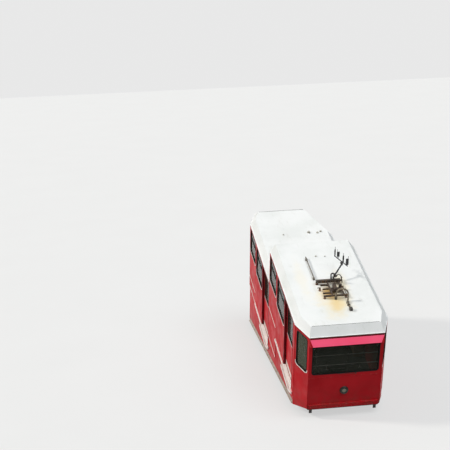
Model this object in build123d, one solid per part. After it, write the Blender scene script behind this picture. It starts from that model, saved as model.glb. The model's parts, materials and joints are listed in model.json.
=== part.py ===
from build123d import *
import os
from math import atan, cos, degrees, pi, radians, tan

# Funicular car with two saloon sections that stand level on a sloping track.
# Lengths are in millimetres. Two systems of axes are used:
#   car axes    X across, Y level and downhill, Z plumb; zero at the uphill face on the upper floor
#   track axes  X across, Y along the track and downhill, Z square to the track; zero at the flange tips
# The finished part stands in track axes, and all that is level in the real car is tilted by the slope.

# Sections and slope
PITCH = 3240.0                # repeat of the bays from the upper section to the lower one
STEP = 940.0                  # drop from the upper floor to the lower one
SLOPE = degrees(atan(STEP / PITCH))
FLOOR_ABOVE_FLANGE = 250.0    # upper floor at the uphill face, above the flange tips

# Body in plan
WIDTH = 2150.0                # over the side walls
CORNER_IN = 220.0             # corner panel, across
CORNER_LONG = 580.0           # corner panel, along the car
OUTER_CORNER_IN = 476.0       # long corner panel, right side of the downhill end, across
OUTER_CORNER_LONG = 1520.0    # and along the car
BAYS_LONG = 3450.0            # straight side of the upper section
HALF = WIDTH / 2
HALF_END = HALF - CORNER_IN
CORNER = (CORNER_IN, CORNER_LONG)
OUTER_CORNER = (OUTER_CORNER_IN, OUTER_CORNER_LONG)
SECTION_END = CORNER_LONG + BAYS_LONG
LENGTH = SECTION_END + PITCH + CORNER_LONG

# Corners at the left and right of each end as it is drawn, from outside the car looking at it
# with the uphill end as it stands; the downhill end is drawn turned round
END_CORNERS = {"uphill": (CORNER, CORNER), "downhill": (OUTER_CORNER, CORNER)}

# Heights above a section's floor
EAVE = 1960.0
ROOF_RISE = 180.0
ROOF_TOP = EAVE + ROOF_RISE
WINDOW_TOP = 1870.0
BAY_SILL = 1065.0
STAIR_BAY_SILL = 1175.0
CORNER_SILL = 975.0
WINDSCREEN_TOP = 1735.0
WINDSCREEN_SILL = 950.0
LAMP_HEIGHT = 462.0

# Thicknesses and clearances
WALL = 45.0
ROOF_SKIN = 40.0
FLOOR = 70.0
SKIRT = 25.0
SKIRT_INSET = 10.0
GLASS = 8.0
SEAT_GAP = 0.3
RUN_CLEAR = 6.0

# Bays of one section, along the car from the section's own zero
DOORWAY = (820.0, 1835.0)
POCKET_BAY = (1835.0, 2955.0)
STAIR_BAY = (2955.0, SECTION_END)
DOORWAY_TOP = 1885.0
WALL_BELOW_FLOOR = 56.0
STAIR_WALL_DROP = 594.0
PILLAR = 90.0                 # from a bay's edge to its window
WINDOW_RADIUS = 60.0

# Sliding doors
DOOR_RECESS = 62.0
DOOR_THICK = 35.0
DOOR_LAP = 30.0
DOOR_SILL = 990.0
DOOR_WINDOW_TOP = 1780.0
DOOR_STILE = 115.0
HANGER_LONG = 60.0
HANGER_THICK = 12.0
RUNNER_TALL = 22.0
RAIL_TALL = 55.0
RAIL_SLOT = 32.0
RAIL_WALL = 14.0
RAIL_LIP = 5.0
TREAD_OUT = 70.0
TREAD_THICK = 60.0
LEDGE_OUT = 25.0

# Stairs in the bay between the two floors
STAIR_START = 2990.0
STAIR_STEPS = 5
RISE = STEP / STAIR_STEPS
GOING = 208.0
STAIR_PLATE = 35.0
STAIR_END = STAIR_START + (STAIR_STEPS - 1) * GOING

# Ends
SCREEN_MARGIN = 85.0          # from a corner panel to the windscreen
OUTER_FIRST_PANE = 440.0      # pane of the long corner panel beside the end face
END_SKIRT_DROP = 268.0        # lower edge of a corner panel, from the end face to the side
HOOD_OUT = 65.0
BUMPER_OUT = 30.0
BUMPER_TALL = 115.0
LAMP_R = 95.0
LAMP_OUT = 24.0
LAMP_RING = 16.0
DESK_HALF = 510.0
DESK_DEEP = 330.0
DESK_BELOW_SILL = 60.0
DESK_TOP = WINDSCREEN_SILL - DESK_BELOW_SILL
DESK_FRONT_DROP = 120.0
DESK_EDGE = 60.0
DESK_KNEE_IN = 100.0
DESK_KNEE_DROP = 100.0

# Roof bevels
BEVEL_SIDE = 135.0
BEVEL_END = 179.0
TOP_CORNER_IN = 50.0
TOP_CORNER_BACK = 45.0
GUTTER_OUT = 12.0
GUTTER_TALL = 12.0

# Underframe, in track axes
SOLE_IN = 650.0
SOLE_THICK = 50.0
SOLE_BOTTOM = 180.0
SOLE_TOP = 320.0
HUMP_TOP = 530.0
HUMP_HALF = 210.0
HORN_HALF = 115.0
HORN_TOP = 440.0
BEAM = 80.0
BEAM_INSET = 12.0
FRAME_UP = 520.0
FRAME_DOWN = 7680.0
CROSS_BEAMS = (2600.0, 3500.0, 4700.0, 7000.0)
BEARER = 80.0
POST = 60.0
EDGE_ABOVE_RAIL = 130.0       # lower edge of the skirts, above the rail head

# Wheels and axles, in track axes
TREAD_R = 250.0
FLANGE = 25.0
AXLE_Z = TREAD_R + FLANGE
HALF_GAUGE = 500.0
RAIL_HEAD = 60.0
WHEEL_FIT = 0.05
AXLE_R = 55.0
WHEEL_SEAT_R = 60.0
WHEEL_SEAT_SPARE = 10.0       # seat beyond each side of a hub
JOURNAL_R = 40.0
HUB_R = 95.0
HUB_HALF = 70.0
WEB_HALF = 14.0
WEB_SLOPE = 5.0
RIM_R = 205.0
GUIDE_HALF = 60.0
FLANGE_EDGE = 3.0             # bevels of the treads and flanges
FLANGE_TIP = 17.0             # width of a flange at its tip
FLANGE_ROOT = 23.0            # and at the tread
DRUM_HALF = 90.0
WEB_HOLES = 5
WEB_HOLE_R = 34.0
JOURNAL_END = 715.0
AXLES = (("uphill", 1700.0), ("downhill", 6050.0))
BOX_HALF = 100.0
BOX_TALL = 190.0
BOX_X = (635.0, 725.0)        # across, right side
SPRING_R = 22.5
SPRING_GAP = 50.0             # from a box's middle to each of its springs

# Rail brakes and haul rope, in track axes
BRAKES = (2600.0, 4700.0)
BRAKE_LONG = 140.0
BRAKE_WIDE = 140.0
BRAKE_SLOT_TOP = 60.0
BRAKE_LOW = 8.0
BRAKE_BACK = 30.0             # from a brake's place to its uphill face
ROPE_Y = 440.0
ROPE_Z = 120.0
ROPE_PIN_R = 20.0
CLEVIS_EAR = 25.0
CLEVIS_GAP = 44.0
CLEVIS_HALF_TALL = 45.0
CLEVIS_SLOT_END = 55.0        # from the pin to the bottom of the fork's slot
CLEVIS_SLOPE = 20.0

# Roof collector, in car axes; heights are above the roof
COLLECTOR_FRONT = 1290.0
BEAM_X = (-329.0, 268.0)
BEAM_Y = (1918.0, 1989.0)
BEAM_TALL = 65.0
BEAM_PLATE = 9.0
COLLECTOR_BAR = 36.0
INSULATOR_R = 30.0
INSULATOR_TALL = 50.0
FEET = ((-243.0, 1308.0), (263.0, 1308.0), (-300.0, 1953.0), (240.0, 1953.0))
SPINES = (-76.0, 196.0)
LOOSE_FOOT = (-287.0, 1666.0)
DRUM_X = 58.0
DRUM_Y = (1470.0, 1700.0)
DRUM_Z = 112.0
DRUM_R = 44.0
LATCH = ((168.0, 234.0), (1650.0, 1706.0), (50.0, 140.0))
SIDE_ROD = ((266.0, 1690.0, 74.0), (274.0, 1300.0, 74.0))
SIDE_ROD_R = 8.0
LEVER = ((318.0, 1966.0, 8.0), (286.0, 1966.0, 176.0))
LEVER_R = 13.0
CHEEK_Y = (2026.0, 2050.0)
CHEEK_MIDDLE = (92.0, 196.0)
CHEEK_R = 48.0
CHEEK_LEG = 24.0
PIVOT = (170.0, 2102.0, 152.0)
PIVOT_LONG = 84.0
PIVOT_TUBE_R = 24.0
PIVOT_PIN_R = 12.0
ELBOW = (385.0, 2342.0, 290.0)
ELBOW_PIN = (-30.0, 70.0)
SLEEVE = (10.0, 66.0)
SLEEVE_WALL = 9.0
PIN_PLAY = 0.5
ARM_R = 19.0
LINK_R = 9.0
HEAD_LIFT = 40.0
HEAD_R = 12.0
HEAD_FAR = (278.0, 2690.0)
HEAD_NEAR = (480.0, 2161.0)
FORK_TALL = 190.0
POLE = ((-324.0, 2100.0), (-322.0, 3200.0))
POLE_R = 14.0
POLE_LIFT = 50.0
POLE_CHOCK = 25.0

# Rungs left of the first spine: place along the car, left end, width
RUNGS = ((1434.0, -261.0, 32.0), (1611.0, -237.0, 14.0), (1793.0, -248.0, 34.0))

# Contact forks on the head: share of its rail, width, foot of the blade above the rail, horn's offset
FORKS = (
    (0.03, 28.0, 12.0, 0.0),
    (0.28, 66.0, 60.0, -22.0),
    (0.66, 34.0, 12.0, 0.0),
    (0.96, 66.0, 24.0, 24.0),
)
BLADE_THICK = 14.0
HORN_R = 5.0
HORN_TALL = 70.0

# Hose from a gland on the roof, over in an upright bow and along the roof to a terminal box
HOSE_R = 15.0
HOSE_ROUTE = (
    (4.0, 1245.0, 60.0),
    (4.0, 1245.0, 198.0),
    (86.0, 1247.0, 280.0),
    (202.0, 1240.0, 280.0),
    (284.0, 1228.0, 198.0),
    (280.0, 1180.0, 95.0),
    (252.0, 1095.0, 34.0),
    (232.0, 990.0, 24.0),
    (247.0, 880.0, 24.0),
    (247.0, 785.0, 24.0),
)
HOSE_BEND_SHARE = 0.45        # of the shorter run beside a bend
GLAND_R = 27.0
TERMINAL_BOX = (70.0, 80.0, 62.0)
HOSE_CLIPS = ((242.0, 1042.0), (240.0, 935.0))
CLIP = (64.0, 18.0, 50.0)

# Section table: name, start of its bay pattern, floor level
SECTIONS = (("upper", 0.0, 0.0), ("lower", PITCH, -STEP))
SIDES = (("left", -1), ("right", 1))


def box(x, y, z):
    """A block from three (low, high) pairs."""
    size = [high - low for low, high in (x, y, z)]
    middle = [(high + low) / 2 for low, high in (x, y, z)]
    return Pos(*middle) * Box(*size)


def prism_x(points, x_low, x_high):
    """A (Y, Z) outline drawn out across the car."""
    face = make_face(Polyline(*points, close=True))
    return extrude(Plane.YZ.offset(x_low) * face, x_high - x_low)


def prism_z(points, z_low, z_high):
    """An (X, Y) outline drawn upwards."""
    face = make_face(Polyline(*points, close=True))
    return extrude(Plane.XY.offset(z_low) * face, z_high - z_low)


def prism_y(points, y_low, y_high):
    """An (X, Z) outline drawn out along the car."""
    face = make_face(Polyline(*points, close=True))
    return extrude(Plane.XZ.offset(-y_high) * face, y_high - y_low)


def pane(plane, across, up, radius, low, high):
    """A rounded block on a plane, from its low to its high offset."""
    middle = Pos((across[0] + across[1]) / 2, (up[0] + up[1]) / 2)
    face = middle * RectangleRounded(across[1] - across[0], up[1] - up[0], radius)
    return extrude(plane.offset(low) * face, high - low)


def rod(start, end, radius):
    """A round bar between two points."""
    axis = Vector(*end) - Vector(*start)
    return extrude(Plane(origin=start, z_dir=axis) * Circle(radius), axis.length)


def sided(shape, side):
    """A shape drawn on the right side, put on the named side."""
    return shape if side > 0 else mirror(shape, Plane.YZ)


def gather(shapes):
    """Separate solids of one node."""
    return Compound([solid for shape in shapes for solid in shape.solids()])


def to_downhill(shape):
    """A shape of the uphill end, turned to the downhill end."""
    return Pos(0, LENGTH, -STEP) * Rot(0, 0, 180) * shape


def car_z(track_z, y):
    """Height in car axes of a level of the track axes, at a place along the car."""
    return (track_z - FLOOR_ABOVE_FLANGE) / cos(radians(SLOPE)) - y * tan(radians(SLOPE))


def skirt_edge(y):
    """Height of the skirts' lower edge in car axes."""
    return car_z(FLANGE + EDGE_ABOVE_RAIL, y)


def both_sides(right, left):
    """Outline from the points of its right side and those of its left one, drawn as if right."""
    return right + [(-x, y) for x, y in reversed(left)]


def plan(inset, end, which="uphill"):
    """Outline in plan of a body with a cornered end, moved in by an inset."""
    sides = []
    for across, along in END_CORNERS[which]:
        turn = atan(across / along)
        end_point = (HALF - across - inset * tan(radians(45) - turn / 2), inset)
        side_point = (HALF - inset, along + inset * tan(turn / 2))
        sides.append([end_point, side_point, (HALF - inset, end)])
    return both_sides(sides[1], sides[0])


def screen_span(which):
    """Windscreen's range across an end as it is drawn."""
    left, right = END_CORNERS[which]
    return left[0] - HALF + SCREEN_MARGIN, HALF - right[0] - SCREEN_MARGIN


def right_side_end(section_y, side):
    """Place along the car where a section's straight wall ends."""
    if section_y and side > 0:
        return LENGTH - OUTER_CORNER_LONG
    return SECTION_END + section_y


# Floors and stairs

def floor_upper():
    return prism_z(plan(WALL + SEAT_GAP, STAIR_START), -FLOOR, 0)


def floor_lower():
    start = STAIR_END - STAIR_PLATE
    slab = prism_z(plan(WALL + SEAT_GAP, LENGTH - start, "downhill"), -FLOOR, 0)
    return to_downhill(slab)


def inner_steps():
    """Folded stair plate between the two floors."""
    treads = range(1, STAIR_STEPS)
    points = [(STAIR_START, -FLOOR)]
    for number in treads:
        points.append((STAIR_START + (number - 1) * GOING, -number * RISE))
        points.append((STAIR_START + number * GOING, -number * RISE))
    points.append((STAIR_END, -STEP))
    points.append((STAIR_END - STAIR_PLATE, -STEP))
    for number in reversed(treads):
        under = -number * RISE - STAIR_PLATE
        points.append((STAIR_START + number * GOING - STAIR_PLATE, under))
        points.append((STAIR_START + (number - 1) * GOING - STAIR_PLATE, under))
    points.append((STAIR_START - STAIR_PLATE, -FLOOR))
    half = HALF - WALL - SEAT_GAP
    return prism_x(points, -half, half)


# Side walls, skirts and side glass

def bay_windows(section_y, floor, side):
    """Window outlines of one section's side: (Y range, Z range)."""
    found = []
    for bay, sill in ((POCKET_BAY, BAY_SILL), (STAIR_BAY, STAIR_BAY_SILL)):
        if bay[1] + section_y <= right_side_end(section_y, side):
            across = (bay[0] + PILLAR + section_y, bay[1] - PILLAR + section_y)
            found.append((across, (sill + floor, WINDOW_TOP + floor)))
    return found


def side_wall(name, section_y, floor, side):
    """Wall of one section's side, drawn on the right, with its doorway and windows cut."""
    bottom = floor - WALL_BELOW_FLOOR
    end = right_side_end(section_y, side)
    if name == "upper":
        start = CORNER_LONG
        drop = -STAIR_WALL_DROP
        foot = [(start, bottom), (STAIR_BAY[0], bottom), (STAIR_BAY[0], drop), (end, drop)]
    else:
        start = SECTION_END
        foot = [(start, bottom), (end, bottom)]
    outline = foot + [(end, floor + EAVE), (start, floor + EAVE)]
    wall = prism_x(outline, HALF - WALL, HALF)
    doorway_y = (DOORWAY[0] + section_y, DOORWAY[1] + section_y)
    doorway = box((HALF - 2 * WALL, HALF + WALL), doorway_y, (floor, floor + DOORWAY_TOP))
    wall -= doorway
    for across, up in bay_windows(section_y, floor, side):
        wall -= pane(Plane.YZ, across, up, WINDOW_RADIUS, HALF - 2 * WALL, HALF + WALL)
    return wall


def side_glass(side):
    """Panes of one side, drawn on the right."""
    middle = HALF - WALL / 2
    panes = []
    for _, section_y, floor in SECTIONS:
        for across, up in bay_windows(section_y, floor, side):
            across = (across[0] + SEAT_GAP, across[1] - SEAT_GAP)
            up = (up[0] + SEAT_GAP, up[1] - SEAT_GAP)
            panes.append(pane(Plane.YZ, across, up, WINDOW_RADIUS, middle - GLASS / 2, middle + GLASS / 2))
    return gather(panes)


def skirt(side):
    """Skirt below one side's walls, drawn on the right, down to an edge parallel to the track."""
    end = right_side_end(PITCH, side)
    low = -STEP - WALL_BELOW_FLOOR
    points = [
        (CORNER_LONG, -WALL_BELOW_FLOOR),
        (STAIR_BAY[0], -WALL_BELOW_FLOOR),
        (STAIR_BAY[0], -STAIR_WALL_DROP),
        (SECTION_END, -STAIR_WALL_DROP),
        (SECTION_END, low),
        (end, low),
        (end, skirt_edge(end)),
        (CORNER_LONG, skirt_edge(CORNER_LONG)),
    ]
    outside = HALF - SKIRT_INSET
    return prism_x(points, outside - SKIRT, outside)


def door_step(section_y, floor):
    """Right tread at a doorway, with the ledge that runs on below the next bay."""
    front = DOORWAY[0] - 2 * TREAD_OUT + section_y
    points = [
        (HALF, front),
        (HALF + LEDGE_OUT, front),
        (HALF + TREAD_OUT, DOORWAY[0] + section_y),
        (HALF + TREAD_OUT, DOORWAY[1] + section_y),
        (HALF + LEDGE_OUT, DOORWAY[1] + TREAD_OUT + section_y),
        (HALF + LEDGE_OUT, POCKET_BAY[1] + section_y),
        (HALF, POCKET_BAY[1] + section_y),
    ]
    return prism_z(points, floor - TREAD_THICK, floor)


# Sliding doors

DOOR_OUTSIDE = HALF - DOOR_RECESS
DOOR_INSIDE = DOOR_OUTSIDE - DOOR_THICK
DOOR_MIDDLE = DOOR_OUTSIDE - DOOR_THICK / 2
DOOR_TOP = DOORWAY_TOP + RUN_CLEAR
RAIL_BOTTOM = DOOR_TOP + 2 * RUN_CLEAR


def door_window(section_y, floor, fit):
    across = (DOORWAY[0] - DOOR_LAP + DOOR_STILE + section_y + fit,
              DOORWAY[1] + DOOR_LAP - DOOR_STILE + section_y - fit)
    return across, (floor + DOOR_SILL + fit, floor + DOOR_WINDOW_TOP - fit)


def door(section_y, floor):
    """Right door leaf with its two hangers, whose runners ride on the rail's lips."""
    along = (DOORWAY[0] - DOOR_LAP + section_y, DOORWAY[1] + DOOR_LAP + section_y)
    leaf = box((DOOR_INSIDE, DOOR_OUTSIDE), along, (floor + RUN_CLEAR, floor + DOOR_TOP))
    across, up = door_window(section_y, floor, 0)
    leaf -= pane(Plane.YZ, across, up, WINDOW_RADIUS, DOOR_INSIDE - WALL, DOOR_OUTSIDE + WALL)
    hanger_x = (DOOR_MIDDLE - HANGER_THICK / 2, DOOR_MIDDLE + HANGER_THICK / 2)
    runner_half = RAIL_SLOT / 2 - SEAT_GAP
    runner_x = (DOOR_MIDDLE - runner_half, DOOR_MIDDLE + runner_half)
    runner_low = floor + RAIL_BOTTOM + RAIL_LIP + SEAT_GAP
    for start in (along[0] + DOOR_STILE, along[1] - DOOR_STILE - HANGER_LONG):
        hanger_y = (start, start + HANGER_LONG)
        leaf += box(hanger_x, hanger_y, (floor + DOOR_TOP, runner_low + RUNNER_TALL))
        leaf += box(runner_x, hanger_y, (runner_low, runner_low + RUNNER_TALL))
    return leaf


def door_glass(section_y, floor):
    across, up = door_window(section_y, floor, SEAT_GAP)
    low = DOOR_MIDDLE - GLASS / 2
    return pane(Plane.YZ, across, up, WINDOW_RADIUS, low, low + GLASS)


def door_rail(section_y, floor):
    """Right rail over a doorway and its pocket bay: a channel with two lips at the bottom."""
    wall_face = HALF - WALL - SEAT_GAP
    inside = DOOR_MIDDLE - RAIL_SLOT / 2 - RAIL_WALL
    along = (DOORWAY[0] - DOOR_LAP + section_y, POCKET_BAY[1] + section_y)
    low = floor + RAIL_BOTTOM
    rail = box((inside, wall_face), along, (low, low + RAIL_TALL))
    cut_y = (along[0] - WALL, along[1] + WALL)
    slot = (DOOR_MIDDLE - RAIL_SLOT / 2, DOOR_MIDDLE + RAIL_SLOT / 2)
    rail -= box(slot, cut_y, (low + RAIL_LIP, low + RAIL_TALL - RAIL_WALL))
    throat_half = HANGER_THICK / 2 + RUN_CLEAR
    throat = (DOOR_MIDDLE - throat_half, DOOR_MIDDLE + throat_half)
    return rail - box(throat, cut_y, (low - RAIL_LIP, low + 2 * RAIL_LIP))


# End walls

def corner_plane(corner):
    """Outer face of a corner panel on the right of an end."""
    across, along = corner
    middle = (HALF - across / 2, along / 2, 0)
    return Plane(origin=middle, x_dir=(across, along, 0), z_dir=(along, -across, 0))


def corner_spans(corner):
    """Window ranges along a corner panel, from its middle."""
    half = (corner[0] ** 2 + corner[1] ** 2) ** 0.5 / 2 - PILLAR
    if corner == CORNER:
        return [(-half, half)]
    return [(-half, OUTER_FIRST_PANE - half), (OUTER_FIRST_PANE + PILLAR - half, half)]


def corner_panes(which, fit, low, high):
    """Blocks of an end's corner windows, smaller by a fit and between two offsets from the panels."""
    found = []
    up = (CORNER_SILL + fit, WINDOW_TOP - fit)
    for corner, side in zip(END_CORNERS[which], (-1, 1)):
        for start, end in corner_spans(corner):
            block = pane(corner_plane(corner), (start + fit, end - fit), up, WINDOW_RADIUS, low, high)
            found.append(sided(block, side))
    return found


def end_shell(which, inset, thickness, low, high):
    """Flat end with its two corner panels, as one bent wall."""
    far = 2 * OUTER_CORNER_LONG
    outside = prism_z(plan(inset, far, which), low, high)
    inside = prism_z(plan(inset + thickness, far + WALL, which), low - 1, high + 1)
    shell = outside - inside
    left, right = END_CORNERS[which]
    shell -= box((-WIDTH, 0), (left[1], far + WALL), (low - 1, high + 1))
    return shell - box((0, WIDTH), (right[1], far + WALL), (low - 1, high + 1))


def end_wall(which):
    """End wall drawn at the uphill end, with its windows cut, hood and bumper strip."""
    low = -2 * END_SKIRT_DROP if which == "uphill" else -WALL_BELOW_FLOOR
    wall = end_shell(which, 0, WALL, low, EAVE)
    if which == "uphill":
        fall = END_SKIRT_DROP / CORNER_LONG
        below = [(-WIDTH, WIDTH * fall), (WIDTH, -WIDTH * fall), (WIDTH, -WIDTH), (-WIDTH, -WIDTH)]
        wall -= prism_x(below, -WIDTH, WIDTH)
    across = screen_span(which)
    wall -= pane(Plane.XZ, across, (WINDSCREEN_SILL, WINDSCREEN_TOP), WINDOW_RADIUS, -2 * WALL, 2 * WALL)
    for block in corner_panes(which, 0, -2 * WALL, 2 * WALL):
        wall -= block
    low = WINDSCREEN_TOP + RUN_CLEAR
    hood = [(0, low), (-HOOD_OUT, low), (-RUN_CLEAR, EAVE), (0, EAVE)]
    hood_in = SCREEN_MARGIN - RUN_CLEAR
    wall += prism_x(hood, across[0] - hood_in, across[1] + hood_in)
    bumper_in = SCREEN_MARGIN - BUMPER_OUT
    wall += box((across[0] - bumper_in, across[1] + bumper_in), (-BUMPER_OUT, 0), (0, BUMPER_TALL))
    return wall


def windscreen(which):
    across = screen_span(which)
    across = (across[0] + SEAT_GAP, across[1] - SEAT_GAP)
    up = (WINDSCREEN_SILL + SEAT_GAP, WINDSCREEN_TOP - SEAT_GAP)
    middle = -WALL / 2
    return pane(Plane.XZ, across, up, WINDOW_RADIUS, middle - GLASS / 2, middle + GLASS / 2)


def corner_glass(which):
    middle = -WALL / 2
    return gather(corner_panes(which, SEAT_GAP, middle - GLASS / 2, middle + GLASS / 2))


def end_apron():
    """Apron below the downhill end, drawn at the uphill end and turned."""
    foot = skirt_edge(LENGTH) - 1
    apron = to_downhill(end_shell("downhill", SKIRT_INSET, SKIRT, foot + STEP, -WALL_BELOW_FLOOR))
    below = [(0, skirt_edge(0)), (2 * LENGTH, skirt_edge(2 * LENGTH)), (0, skirt_edge(2 * LENGTH))]
    return apron - prism_x(below, -WIDTH, WIDTH)


def headlamp():
    ring = Circle(LAMP_R) - Circle(LAMP_R - LAMP_RING)
    face = extrude(Plane.XZ * ring, LAMP_OUT)
    back = extrude(Plane.XZ * Circle(LAMP_R), LAMP_OUT / 3)
    return Pos(0, 0, LAMP_HEIGHT) * (face + back)


def headlamp_lens():
    lens = extrude(Plane.XZ.offset(LAMP_OUT / 3) * Circle(LAMP_R - LAMP_RING - SEAT_GAP), LAMP_OUT / 2)
    return Pos(0, 0, LAMP_HEIGHT) * lens


def rear_wall():
    """Wall of the upper section above the lower roof, with a window."""
    half = HALF - WALL - SEAT_GAP
    low = EAVE - STEP
    wall = box((-half, half), (SECTION_END - WALL, SECTION_END), (low, EAVE))
    sill = low + ROOF_RISE + PILLAR
    across = screen_span("uphill")
    return wall - pane(Plane.XZ, across, (sill, WINDOW_TOP), WINDOW_RADIUS, -SECTION_END - WALL,
                       -SECTION_END + 2 * WALL)


def rear_glass():
    sill = EAVE - STEP + ROOF_RISE + PILLAR
    across = screen_span("uphill")
    across = (across[0] + SEAT_GAP, across[1] - SEAT_GAP)
    middle = WALL / 2 - SECTION_END
    return pane(Plane.XZ, across, (sill + SEAT_GAP, WINDOW_TOP - SEAT_GAP), WINDOW_RADIUS,
                middle - GLASS / 2, middle + GLASS / 2)


# Roofs

def roof_block(which, inset, low, high, end):
    """Bevelled block of a roof with a cornered end."""
    bottom = Plane.XY.offset(low) * make_face(Polyline(*plan(inset, end, which), close=True))
    sides = []
    for across, along in END_CORNERS[which]:
        sides.append([
            (HALF - across - TOP_CORNER_IN - inset, BEVEL_END + inset),
            (HALF - BEVEL_SIDE - inset, along + TOP_CORNER_BACK + inset),
            (HALF - BEVEL_SIDE - inset, end),
        ])
    top = Plane.XY.offset(high) * make_face(Polyline(*both_sides(sides[1], sides[0]), close=True))
    return loft([bottom, top], ruled=True)


def roof(which, end):
    """Bevelled roof shell with a gutter lip, open below."""
    outside = roof_block(which, 0, EAVE, ROOF_TOP, end)
    lip_top = EAVE + GUTTER_TALL
    lip = prism_z(plan(-GUTTER_OUT, end, which), EAVE, lip_top)
    inside = roof_block(which, ROOF_SKIN, EAVE, ROOF_TOP - ROOF_SKIN, end - ROOF_SKIN)
    return outside + lip - inside


# Inside fittings

BENCH_BACK = DOOR_INSIDE - 4 * RUN_CLEAR
BENCH_DEEP = 430.0
BENCH_SEAT = 440.0
BENCH_TOP = 900.0
BENCH_THICK = 50.0
BENCH_FROM_DOOR = 65.0        # from the doorway to a bench
BENCH_SHORT = 90.0            # a bench ends this far before its wall
BENCH_PAST_CORNER = 170.0     # and runs this far along the long corner panel


def bench(start, end, floor):
    """Right bench along the side: seat, back and plinth in one profile."""
    front = BENCH_BACK - BENCH_DEEP
    profile = [
        (BENCH_BACK, floor), (BENCH_BACK, floor + BENCH_TOP),
        (BENCH_BACK - BENCH_THICK, floor + BENCH_TOP),
        (BENCH_BACK - 1.6 * BENCH_THICK, floor + BENCH_SEAT),
        (front, floor + BENCH_SEAT), (front, floor + BENCH_SEAT - BENCH_THICK),
        (front + 3 * BENCH_THICK, floor + BENCH_SEAT - 1.6 * BENCH_THICK),
        (front + 4 * BENCH_THICK, floor),
    ]
    return prism_y(profile, start, end)


def driver_desk():
    """Desk inside the uphill windscreen."""
    front = WALL + 4 * RUN_CLEAR
    back = front + DESK_DEEP
    knee = back - DESK_KNEE_IN
    edge_top = DESK_TOP - DESK_FRONT_DROP
    edge_low = edge_top - DESK_EDGE
    profile = [
        (front, 0), (front, DESK_TOP), (front + DESK_DEEP / 2, DESK_TOP),
        (back, edge_top), (back, edge_low), (knee, edge_low - DESK_KNEE_DROP), (knee, 0),
    ]
    return prism_x(profile, -DESK_HALF, DESK_HALF)


GRAB_R = 17.0
GRAB_X = 380.0


def grab_poles():
    """Floor to ceiling poles between the doorways of each section."""
    poles = []
    for _, section_y, floor in SECTIONS:
        y = (DOORWAY[0] + DOORWAY[1]) / 2 + section_y
        for x in (-GRAB_X, GRAB_X):
            poles.append(rod((x, y, floor), (x, y, floor + ROOF_TOP - ROOF_SKIN), GRAB_R))
    return gather(poles)


# Underframe in track axes

def sole_bars():
    """Two side bars with a hump over each axle box."""
    top = [(FRAME_UP, SOLE_TOP)]
    bottom = [(FRAME_UP, SOLE_BOTTOM)]
    for _, y in AXLES:
        top += [(y - HUMP_HALF - HORN_HALF, SOLE_TOP), (y - HUMP_HALF, HUMP_TOP)]
        top += [(y + HUMP_HALF, HUMP_TOP), (y + HUMP_HALF + HORN_HALF, SOLE_TOP)]
        bottom += [(y - HORN_HALF, SOLE_BOTTOM), (y - HORN_HALF, HORN_TOP)]
        bottom += [(y + HORN_HALF, HORN_TOP), (y + HORN_HALF, SOLE_BOTTOM)]
    top.append((FRAME_DOWN, SOLE_TOP))
    bottom.append((FRAME_DOWN, SOLE_BOTTOM))
    bar = prism_x(top + list(reversed(bottom)), SOLE_IN, SOLE_IN + SOLE_THICK)
    return gather([bar, sided(bar, -1)])


def cross_beams():
    """Beams between the side bars, with the two headstocks."""
    starts = (FRAME_UP,) + CROSS_BEAMS + (FRAME_DOWN - BEAM,)
    height = (SOLE_BOTTOM + BEAM_INSET, SOLE_TOP - BEAM_INSET)
    return gather([box((-SOLE_IN, SOLE_IN), (y, y + BEAM), height) for y in starts])


# Floor bearers in car axes: place along the car, floor level
BEARERS = (
    (1000.0, 0.0),
    (2400.0, 0.0),
    (2870.0, 0.0),
    (4500.0, -STEP),
    (5400.0, -STEP),
    (6700.0, -STEP),
    (7300.0, -STEP),
)


def floor_bearers(level):
    """Cross bearers below a floor, with posts down to the side bars."""
    outside = SOLE_IN + SOLE_THICK
    bearers = []
    for y, floor in BEARERS:
        if floor != level:
            continue
        top = floor - FLOOR
        bearer = box((-outside, outside), (y, y + POST), (top - BEARER, top))
        ends = [(y, top - BEARER), (y + POST, top - BEARER)]
        feet = [(y + POST, car_z(SOLE_TOP, y + POST)), (y, car_z(SOLE_TOP, y))]
        post = prism_x(ends + feet, SOLE_IN, outside)
        bearers.append(bearer + post + sided(post, -1))
    return gather(bearers)


# Wheels and axles in track axes

def turned(profile):
    """An (X, radius) profile turned about the axle's line."""
    return revolve(make_face(Polyline(*profile, close=True)), Axis.X)


def wheel(half, flange):
    """Disc wheel with a tread of the given half width and flanges of the given height."""
    bore = WHEEL_SEAT_R + WHEEL_FIT
    side = [(HUB_HALF, bore), (HUB_HALF, HUB_R), (WEB_HALF, HUB_R + WEB_SLOPE)]
    side += [(WEB_HALF, RIM_R - WEB_SLOPE), (half, RIM_R)]
    if flange:
        tip = TREAD_R + flange
        side += [(half, tip - FLANGE_EDGE), (half - FLANGE_EDGE, tip)]
        side += [(half - FLANGE_TIP, tip), (half - FLANGE_ROOT, TREAD_R)]
    else:
        side += [(half, TREAD_R - FLANGE_EDGE), (half - FLANGE_EDGE, TREAD_R)]
    disc = turned(side + [(-x, r) for x, r in reversed(side)])
    middle = (HUB_R + RIM_R) / 2
    for number in range(WEB_HOLES):
        place = Rot(number * 360 / WEB_HOLES, 0, 0) * Pos(0, 0, middle) * Rot(0, 90, 0)
        disc -= place * Cylinder(WEB_HOLE_R, 4 * HUB_HALF)
    return disc


def wheels(y):
    """Guided wheel on the right rail and flangeless drum wheel on the left one."""
    guided = Pos(HALF_GAUGE, y, AXLE_Z) * wheel(GUIDE_HALF, FLANGE)
    drum = Pos(-HALF_GAUGE, y, AXLE_Z) * wheel(DRUM_HALF, 0)
    return gather([guided, drum])


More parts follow.
